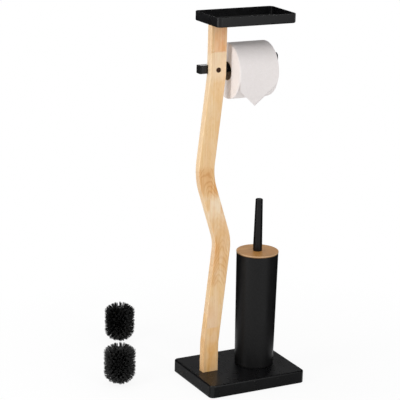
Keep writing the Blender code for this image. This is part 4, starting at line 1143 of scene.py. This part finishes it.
FLOOR_UNDER = 2.2 * MM
floor_top = FLOOR_UNDER + CUP_WALL
cup = turned([
    (0, FLOOR_UNDER, 0),
    (cup_radius(FLOOR_UNDER) - CUP_WALL, FLOOR_UNDER, 0.3 * MM),
    (CUP_FOOT - CUP_WALL, 0, 0.2 * MM),
    (CUP_FOOT, 0, 0.7 * MM),
    (CUP_TOP, cup_height, 0.45 * MM),
    (CUP_TOP - CUP_WALL, cup_height, 0.45 * MM),
    (cup_radius(floor_top) - CUP_WALL, floor_top, 0.6 * MM),
    (0, floor_top, 0),
], 144)
fit("tapered_cup", moved(cup, cup_place + Vector((0, 0, cup_low.z))), "matt_black_coat", "cup", "brush_cup")

# %% [markdown]
# A rubber ring under the cup keeps it from sliding and spares the coat of the base. It could be a torus, but it
# has to stand flat, so a small rectangle with soft corners is turned.

# %% Turn the foot ring
ring_low, ring_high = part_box("cup_foot_ring")
ring_outer = (ring_high.x - ring_low.x) / 2
ring_inner = ring_outer - 5 * MM
ring = turned([
    (ring_inner, ring_low.z, 0.5 * MM), (ring_outer, ring_low.z, 0.5 * MM),
    (ring_outer, ring_high.z, 0.3 * MM), (ring_inner, ring_high.z, 0.3 * MM),
])
fit("soft_foot_ring", moved(ring, cup_place), "black_rubber", "cup", "cup_foot_ring")

# %% [markdown]
# A plastic liner stands inside the cup and can be lifted out to be rinsed. It runs beside the cup's wall with a
# little play. A smaller copy of the cup would have a thinner wall and a raised floor, so it has its own outline.

# %% Turn the liner
liner_low, liner_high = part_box("cup_liner")
liner_top = (liner_high.x - liner_low.x) / 2
liner_foot = liner_top - (liner_high.z - liner_low.z) * (CUP_TOP - CUP_FOOT) / cup_height
LINER_WALL = 1.2 * MM
liner = turned([
    (0, liner_low.z, 0),
    (liner_foot, liner_low.z, MM),
    (liner_top, liner_high.z, 0.4 * MM),
    (liner_top - LINER_WALL, liner_high.z, 0.4 * MM),
    (liner_foot - LINER_WALL, liner_low.z + LINER_WALL, 3 * MM),
    (0, liner_low.z + LINER_WALL, 0),
], 128)
fit("rinse_liner", moved(liner, cup_place), "black_plastic", "cup", "cup_liner")

# %% [markdown]
# ## The lid and what clamps it
#
# The lid is a bamboo disc with rounded edges and a small hole for the rod's thread. A disc with a bevel would look
# the same from above, but turning its section gives both edges their own rounding.

# %% Turn the lid
THREAD_HOLE = 2.8 * MM
lid = turned([
    (THREAD_HOLE, lid_low.z, 0.2 * MM), (lid_radius, lid_low.z, 0.9 * MM),
    (lid_radius, lid_high.z, 1.1 * MM), (THREAD_HOLE, lid_high.z, 0.2 * MM),
], 144)
fit("bamboo_lid", moved(lid, cup_place), "lid_bamboo", "brush", "brush_lid")

# %% [markdown]
# Under the lid sits a plastic plug whose skirt centres it in the cup, and a nut on the rod pulls lid and plug up
# against the handle. A plain disc would hide as well, but the skirt shows when the brush is lifted out.

# %% Turn the plug under the lid
plug_low, plug_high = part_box("lid_plug")
plug_radius = (plug_high.x - plug_low.x) / 2
PLUG_PLATE = 2 * MM
PLUG_WALL = 1.5 * MM
plug = turned([
    (THREAD_HOLE, plug_high.z, 0.2 * MM), (plug_radius, plug_high.z, 0.3 * MM),
    (plug_radius, plug_low.z, 0.6 * MM), (plug_radius - PLUG_WALL, plug_low.z, 0.6 * MM),
    (plug_radius - PLUG_WALL, plug_high.z - PLUG_PLATE, 0.8 * MM), (THREAD_HOLE, plug_high.z - PLUG_PLATE, 0.2 * MM),
], 128)
fit("lid_spigot", moved(plug, cup_place), "black_plastic", "brush", "lid_plug")

# %% [markdown]
# ## The handle and the rod
#
# The handle is a slim cone, thicker at the lid, with a turned edge round its top and a shallow dish in it. It has
# a blind hole in its foot for the rod. A cone primitive would need its edges and its dish added afterwards, and
# here they are corners of the outline that is turned.

# %% Turn the handle
handle_low, handle_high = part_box("brush_handle")
HANDLE_FOOT = (handle_high.x - handle_low.x) / 2
HANDLE_TIP = 8.1 * MM
hole_top = handle_low.z + 15 * MM
handle = turned([
    (0, hole_top, 0),
    (THREAD_HOLE, hole_top, 0),
    (THREAD_HOLE, handle_low.z, 0.2 * MM),
    (HANDLE_FOOT - 0.8 * MM, handle_low.z, 0.3 * MM),
    (HANDLE_FOOT, handle_low.z + 1.4 * MM, 0.8 * MM),
    (HANDLE_TIP, handle_high.z - 1.4 * MM, 0.7 * MM),
    (HANDLE_TIP - 1.3 * MM, handle_high.z, 0.5 * MM),
    (HANDLE_TIP - 2.4 * MM, handle_high.z - 0.4 * MM, 0.4 * MM),
    (0, handle_high.z - 0.5 * MM, 0),
])
fit("slim_handle", moved(handle, cup_place), "handle_black", "brush", "brush_handle")

# %% [markdown]
# The rod runs down from the handle to the brush head, and both its ends are threaded. A real thread is a helix.
# These are short and nearly always hidden, so they are turned as close rings, which look the same and stay light.

# %% Turn the rod with its threads
rod_low, rod_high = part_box("brush_rod")
hub_low, hub_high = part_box("head_core")
nut_low, nut_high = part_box("lid_nut")
THREAD = 2.5 * MM
THREAD_CORE = THREAD - 0.4 * MM
PITCH = 0.8 * MM
ROD = 4 * MM


def thread(start, end):
    """Corners of a ringed thread between two heights, from the lower one up."""
    count = round((end - start) / PITCH)
    step = (end - start) / count
    corners = []
    for number in range(count):
        corners.append((THREAD_CORE, start + number * step, 0))
        corners.append((THREAD, start + (number + 0.5) * step, 0))
    return corners


rod = turned([
    (0, rod_low.z, 0),
    *thread(rod_low.z, hub_high.z + GAP),
    (THREAD_CORE, hub_high.z + GAP, 0),
    (ROD, hub_high.z + GAP, 0.4 * MM),
    (ROD, nut_low.z - GAP, 0.4 * MM),
    *thread(nut_low.z - GAP, rod_high.z),
    (0, rod_high.z, 0),
], 48)
fit("steel_rod", moved(rod, cup_place), "plain_steel", "brush", "brush_rod")

# %% [markdown]
# ## The brush heads
#
# A brush head has a plastic hub, and tufts of filaments stand out from it all round and under it. The photograph
# shows the tufts as spikes with narrow gaps between them at the outline. Their tips lie on one outline: a short
# slope from the crown, a straight side and a round bottom. Two lines are drawn first, one for the tips and one
# for the roots on the hub, and a tuft's place is the same share of the way along both.

# %% Outline that the tips lie on
tufts_low, tufts_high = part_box("spare_1_bristles")
spare_hub_low, spare_hub_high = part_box("spare_1_core")
HEAD_RADIUS = 35.8 * MM
HEAD_TALL = tufts_high.z - 0.6 * MM
DOME_HIGH = 28 * MM
SHOULDER_DROP = 11.5 * MM
SHOULDER_INSET = 18 * MM
HUB_RADIUS = 10.4 * MM
ROOTS_TOP = 11 * MM
ROOTS_FOOT = 24 * MM
hub_top = spare_hub_high.z
print("head:", round(2 * HEAD_RADIUS / MM, 1), "mm across,", round(HEAD_TALL / MM, 1), "mm high")


def tip_outline():
    """Line of the bristle tips from the crown to the middle of the bottom."""
    line = [Vector((HEAD_RADIUS - SHOULDER_INSET, HEAD_TALL)), Vector((HEAD_RADIUS, HEAD_TALL - SHOULDER_DROP))]
    for step in range(2 * ROUND_STEPS + 1):
        turn = math.pi / 4 * step / ROUND_STEPS
        line.append(Vector((HEAD_RADIUS * math.cos(turn), DOME_HIGH * (1 - math.sin(turn)))))
    return line


def root_outline():
    """Line on the hub that the tufts grow from, from its top to the middle of its bottom."""
    line = [Vector((HUB_RADIUS, hub_top - ROOTS_TOP)), Vector((HUB_RADIUS, ROOTS_FOOT))]
    for step in range(1, ROUND_STEPS + 1):
        turn = math.pi / 2 * step / ROUND_STEPS
        line.append(Vector((HUB_RADIUS * math.cos(turn), ROOTS_FOOT - HUB_RADIUS * math.sin(turn))))
    return line


def along(line, share):
    """Place at a share of the length of a line."""
    lengths = [(after - before).length for before, after in zip(line, line[1:])]
    left = share * sum(lengths)
    for before, after, length in zip(line, line[1:], lengths):
        if left <= length:
            return before.lerp(after, left / length)
        left -= length
    return line[-1].copy()

# %% [markdown]
# A filament is a thin tapered plastic thread. A particle system could grow such hair, but here each filament is a
# real mesh. So each one is written straight into the lists of one mesh, three-sided and slightly bowed. At this
# size nobody counts its sides.

# %% One filament
FILAMENT_ROOT = 0.5 * MM
FILAMENT_TIP = 0.3 * MM
TAPER_START = 0.55
BOW_ARC = 0.7 * math.pi


def filament(verts, faces, root, tip, bow):
    """Thin three-sided bristle that bows a little between its root and its tip."""
    way = (tip - root).normalized()
    side = way.orthogonal().normalized()
    other = way.cross(side)
    first = len(verts)
    for share, width in ((0, FILAMENT_ROOT), (TAPER_START, FILAMENT_ROOT), (1, FILAMENT_TIP)):
        middle = root.lerp(tip, share) + bow * math.sin(BOW_ARC * share)
        for corner in range(3):
            turn = math.tau * corner / 3
            verts.append(middle + (side * math.cos(turn) + other * math.sin(turn)) * width)
    faces.append((first + 2, first + 1, first))
    faces.append((first + 6, first + 7, first + 8))
    for level in (first, first + 3):
        for corner in range(3):
            following = (corner + 1) % 3
            faces.append((level + corner, level + following, level + following + 3, level + corner + 3))

# %% [markdown]
# Each tuft is a bunch of filaments that start close together on the hub and fan out to their tips. Even tufts
# would look machined, so each one leans, strays and differs in length a little, by seeded chance. The tufts stand
# in rows, and every other row is shifted by half a tuft. That one mesh serves all three heads.

# %% Fill the head with tufts
TUFT_ROWS = 15
TUFTS_AROUND = 18
FILAMENTS = 17
ROW_START = 0.25  # of the distance between two rows
CROWDED = 1.15
TUFT_OFF = 0.12  # of the distance between two tufts of a row
LEAN = 0.012  # this and the next are shares of the way along the two lines
STRAY = 0.017
FAN = 0.055
SHORTEST = 0.2
ROOT_STRAY = 0.9 * MM
BOW = 0.9 * MM
ROOT_SUNK = 0.97
growth = random.Random(23)


def around_axis(flat, angle):
    """Place at an angle round the head, from its radius and height."""
    return Vector((flat.x * math.cos(angle), flat.x * math.sin(angle), flat.y))


def tufted_head():
    """All the filaments of one head, in one mesh that stands on zero."""
    verts, faces = [], []
    tips, roots = tip_outline(), root_outline()
    for row in range(TUFT_ROWS):
        share = (row + ROW_START) / TUFT_ROWS
        around = max(1, round(TUFTS_AROUND * min(1, along(tips, share).x / HEAD_RADIUS * CROWDED)))
        for column in range(around):
            angle = math.tau * (column + 0.5 * (row % 2) + growth.uniform(-TUFT_OFF, TUFT_OFF)) / around
            lean = growth.uniform(-LEAN, LEAN)
            for _ in range(FILAMENTS):
                spread = growth.gauss(0, FAN)
                rise = min(0.995, max(0.0, share + lean + growth.gauss(0, STRAY)))
                tip_flat = along(roots, rise).lerp(along(tips, rise), 1 - SHORTEST * growth.random() ** 2)
                tip = around_axis(tip_flat, angle + spread)
                root = around_axis(along(roots, share), angle + spread * 0.5)
                root.z += growth.uniform(-ROOT_STRAY, ROOT_STRAY)
                bow = Vector([growth.uniform(-BOW, BOW) for _ in range(3)])
                filament(verts, faces, root * ROOT_SUNK, tip, bow)
    lowest = min(vert.z for vert in verts)
    mesh = bpy.data.meshes.new("tufts")
    mesh.from_pydata([(v.x, v.y, v.z - lowest) for v in verts], [], faces)
    mesh.materials.append(FINISHES["bristle_black"])
    mesh.shade_smooth()
    print("tufts:", len(faces), "faces, lowest was", round(lowest / MM, 2), "mm")
    return mesh


tufts = tufted_head()

# %% [markdown]
# The hub is a moulded plastic core with a collar at its top and a threaded hole for the rod. Only the collar
# shows, but the core keeps one from looking through the head between the tufts. It is turned like the rest, and
# the thread in its hole is close rings again.

# %% Turn the hub
collar = (spare_hub_high.x - spare_hub_low.x) / 2
hole_edge = hub_top - 1.2 * MM
hole_rings = [(THREAD_HOLE + (GAP if ring % 2 else 0), hole_edge - ring * 0.45 * MM, 0) for ring in range(1, 32)]
hub_body = turned([
    (0, 13 * MM, 0),
    (5 * MM, 13 * MM, 3 * MM),
    (HUB_RADIUS, 20 * MM, 4 * MM),
    (HUB_RADIUS, hub_top - 9 * MM, 0.8 * MM),
    (collar - 1.5 * MM, hub_top - 8.4 * MM, 0.4 * MM),
    (collar, hub_top - 6.6 * MM, 0.4 * MM),
    (collar, hub_top, 1.1 * MM),
    (THREAD_HOLE + 1.2 * MM, hub_top, 0.3 * MM),
    (THREAD_HOLE, hole_edge, 0),
    *hole_rings,
    (0, hub_top - 16 * MM, 0),
], 64)
hub_mesh = bpy.data.meshes.new("hub")
hub_body.to_mesh(hub_mesh)
hub_body.free()
hub_mesh.materials.append(FINISHES["black_plastic"])
hub_mesh.shade_smooth()
hub_mesh.set_sharp_from_angle(angle=SHARP_EDGE)
print("hub:", len(hub_mesh.polygons), "faces, collar", round(2 * collar / MM, 1), "mm across")

# %% [markdown]
# The same two meshes are used three times: for the head that hangs in the cup and for the two spare ones on the
# floor. Copies of the meshes would look the same and take three times the space. Each object rides its own body.

# %% Put the head in the cup and the spare heads on the floor
for node, rides in (("head", "brush_head"), ("spare_1", "spare_head_1"), ("spare_2", "spare_head_2")):
    low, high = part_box(f"{node}_core")
    place = Vector(((low.x + high.x) / 2, (low.y + high.y) / 2, high.z - hub_top))
    for kind, mesh, slot, solid in (
        ("tufts", tufts, "bristle_black", f"{node}_bristles"), ("hub", hub_mesh, "black_plastic", f"{node}_core")
    ):
        piece = bpy.data.objects.new(f"{node}_{kind}", mesh)
        bpy.context.scene.collection.objects.link(piece)
        piece.location = place
        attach(piece, rides)
        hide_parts(solid)
    print(node, "stands at", [round(v / MM, 1) for v in place])

# %% [markdown]
# ## Pieces that keep their solid
#
# Some solids are right as they are: the weight board, the underlay, the hidden screws, washers and nuts. They
# could be made finer too, but nobody would see it. So they keep their shape and only get their finish, in place
# of the plain material that they came with.

# %% Finish the hidden pieces
KEPT = {
    "weight_board": ["base_board"],
    "black_rubber": ["base_underlay"],
    "plain_steel": ["post_screw_1", "post_screw_2", "post_washer_1", "post_washer_2", "bar_nut", "lid_nut"],
}
for slot, names in KEPT.items():
    for name in names:
        solid = bpy.data.objects[name]
        solid.data.materials.clear()
        solid.data.materials.append(FINISHES[slot])
print("kept solids:", sum(len(names) for names in KEPT.values()))

# %% [markdown]
# ## Floor and backdrop
#
# The photograph has a plain white ground. Brighter lamps would whiten the floor, but they would bleach the wood
# as well. So the floor is a pale matt plane that takes the soft shadows, and for rays from the camera, and for
# reflections, it is lifted towards white, more so away from the stand: it then meets the backdrop without an edge.

# %% Lay the floor
FLOOR_SIZE = 12.0
FLOOR_WHITE = 0.84
NEAR, FAR = 0.25, 0.75
NEAR_LIFT = 0.9


def seen_share(tree):
    """1 for rays from the camera, mirrored rays and rays through glass, and 0 for the rays that only light."""
    path = add_node(tree, "LightPath", {}).outputs
    seen = add_node(tree, "Math", {0: path["Is Camera Ray"], 1: path["Is Glossy Ray"]}, operation="ADD").outputs[0]
    both = {0: seen, 1: path["Is Transmission Ray"]}
    return add_node(tree, "Math", both, operation="ADD", use_clamp=True).outputs[0]


bpy.ops.mesh.primitive_plane_add(size=FLOOR_SIZE, location=(0, 0, packed_low.z))
floor = bpy.context.object
floor.name = "studio_floor"
ground = bpy.data.materials.new("pale_floor")
ground.use_nodes = True
tree = ground.node_tree
tree.nodes.clear()
where = add_node(tree, "TexCoord", {}).outputs["Object"]
distance = add_node(tree, "VectorMath", {0: where}, operation="LENGTH").outputs["Value"]
fading = {"Value": distance, "From Min": NEAR, "From Max": FAR, "To Min": NEAR_LIFT}
fade = add_node(tree, "MapRange", fading).outputs["Result"]
lift = add_node(tree, "Math", {0: seen_share(tree), 1: fade}, operation="MULTIPLY").outputs[0]
matt = add_node(tree, "BsdfDiffuse", {"Color": tones(FLOOR_WHITE)}).outputs[0]
glow = add_node(tree, "Emission", {}).outputs[0]
mixed = add_node(tree, "MixShader", {0: lift, 1: matt, 2: glow}).outputs[0]
add_node(tree, "OutputMaterial", {"Surface": mixed})
floor.data.materials.append(ground)
print("floor:", FLOOR_SIZE, "m wide, with", len(tree.nodes), "nodes")

# %% [markdown]
# The world is the sky of a scene. Here it is the white room round the stand. A picture of a real room would leave
# its windows in the black coats. So it is one even tone: full white where it is seen, and just over half as strong
# where it only lights, so that the softboxes still model the forms.

# %% Hang the world round it
ROOM_LIGHT = 0.56
world = bpy.data.worlds.new("studio")
bpy.context.scene.world = world
world.use_nodes = True
tree = world.node_tree
background = tree.nodes["Background"].inputs
level = add_node(tree, "MapRange", {"Value": seen_share(tree), "To Min": ROOM_LIGHT}).outputs["Result"]
join(tree, tones(1), background["Color"])
join(tree, level, background["Strength"])
print("world: lights at", ROOM_LIGHT, "and is seen at 1")

# %% [markdown]
# ## Lights
#
# Two tall narrow softboxes light the stand. One stands near its left and low, and makes the left side the brighter
# one. One stands further off in front. A rounded black corner shows each as one soft stripe. A sun lamp would draw
# hard shadows instead, which the photograph doesn't show. A weak softbox above opens the shadows, and a wide flat
# one behind gives the upward faces of the glossy bar their sheen.

# %% Set the softboxes
AIM = Vector((0, 0, 0.4))


def softbox(name, place, width, height, power):
    light = bpy.data.lights.new(name, "AREA")
    light.shape = "RECTANGLE"
    light.size, light.size_y = width, height
    light.energy = power
    lamp = bpy.data.objects.new(name, light)
    bpy.context.scene.collection.objects.link(lamp)
    lamp.location = place
    lamp.rotation_euler = (AIM - Vector(place)).to_track_quat("-Z", "Y").to_euler()
    lamp.visible_camera = False
    print(name, "of", power, "W,", round((AIM - Vector(place)).length, 2), "m from the middle of the stand")


softbox("left_softbox", (-1.05, -0.11, 0.66), 0.3, 1.28, 5.1)
softbox("front_softbox", (0.41, -1.7, 1.4), 0.2, 2.7, 12)
softbox("top_softbox", (0, 0.2, 2.4), 1.6, 1.6, 10)
softbox("back_softbox", (1.1, 2.1, 1.3), 1.4, 0.25, 4)

# %% [markdown]
# ## Black flags
#
# A black coat shows what it mirrors. Seen at a low angle it would mirror the white ground behind and look grey. A
# photographer stands black cards there, out of the picture, which are called flags: low ones close behind the
# stand and on its right, and a tall one behind the back softbox. The upright walls of the base mirror the ground
# beside them, so a mat of grey felt lies along two of them, and the rounded corner between the mats still mirrors
# the white ground as one light stripe. All of these are seen only by mirrored rays: they throw no shadow.

# %% Stand the flags
CARD = 5 * MM
FELT = 0.2 * MM


def flag(name, low, high, cloth):
    """Card that stands or lies on the floor and is seen by mirrored rays alone."""
    card = as_object(name, chunk((*low, 0), high))
    card.data.materials.append(cloth.material)
    for kind in ("camera", "diffuse", "shadow", "transmission", "volume_scatter"):
        setattr(card, f"visible_{kind}", False)
    print(name, "in", cloth.slot)


velvet = Finish("velvet", 0.013, 0.5, specular=0)
flag("low_flag", (-1.3, 0.3), (0.35, 0.3 + CARD, 0.77), velvet)
flag("side_flag", (0.24, -0.3), (0.24 + CARD, 0.3, 0.77), velvet)
flag("tall_flag", (-1.6, 2.3), (3.4, 2.3 + CARD, 2.4), velvet)
felt = Finish("felt", 0.38, 0.5, specular=0)
flag("left_mat", (-0.23, -0.086), (-0.122, 0.22, FELT), felt)
flag("front_mat", (-0.113, -0.24), (0.3, -0.097, FELT), felt)

# %% [markdown]
# ## Camera
#
# The camera looks slightly down from the left. It could be placed by eye, but in the photograph the corners of the
# base fix its direction and its distance, so it was worked out from them. The numbers are its angles round the
# stand, its small roll, the point it looks at, its distance, and its focal length in pixels of the picture.

# %% Set the camera
AZIMUTH = math.radians(-27.8393)
ELEVATION = math.radians(15.8547)
ROLL = math.radians(1.4269)
LOOK_AT = Vector((-0.10883, 0, 0.427))
DISTANCE = 3.54827
FOCAL_PIXELS = 1642.37
FRAME_PIXELS = 400
SENSOR = 36

back = Vector((
    math.sin(AZIMUTH) * math.cos(ELEVATION), -math.cos(AZIMUTH) * math.cos(ELEVATION), math.sin(ELEVATION)
))
right = Vector((math.cos(AZIMUTH), math.sin(AZIMUTH), 0))
up = back.cross(right)
rolled_right = right * math.cos(ROLL) + up * math.sin(ROLL)
rolled_up = up * math.cos(ROLL) - right * math.sin(ROLL)
stand_point = LOOK_AT + back * DISTANCE
view = bpy.data.cameras.new("photo_view")
view.sensor_width = SENSOR
view.lens = FOCAL_PIXELS / FRAME_PIXELS * SENSOR
camera = bpy.data.objects.new("photo_view", view)
camera.matrix_world = Matrix((rolled_right, rolled_up, back)).transposed().to_4x4()
camera.location = stand_point
bpy.context.scene.collection.objects.link(camera)
bpy.context.scene.camera = camera
bpy.context.scene.view_settings.view_transform = "Standard"
print("camera at", [round(v, 3) for v in stand_point], "lens", round(view.lens, 1), "mm")
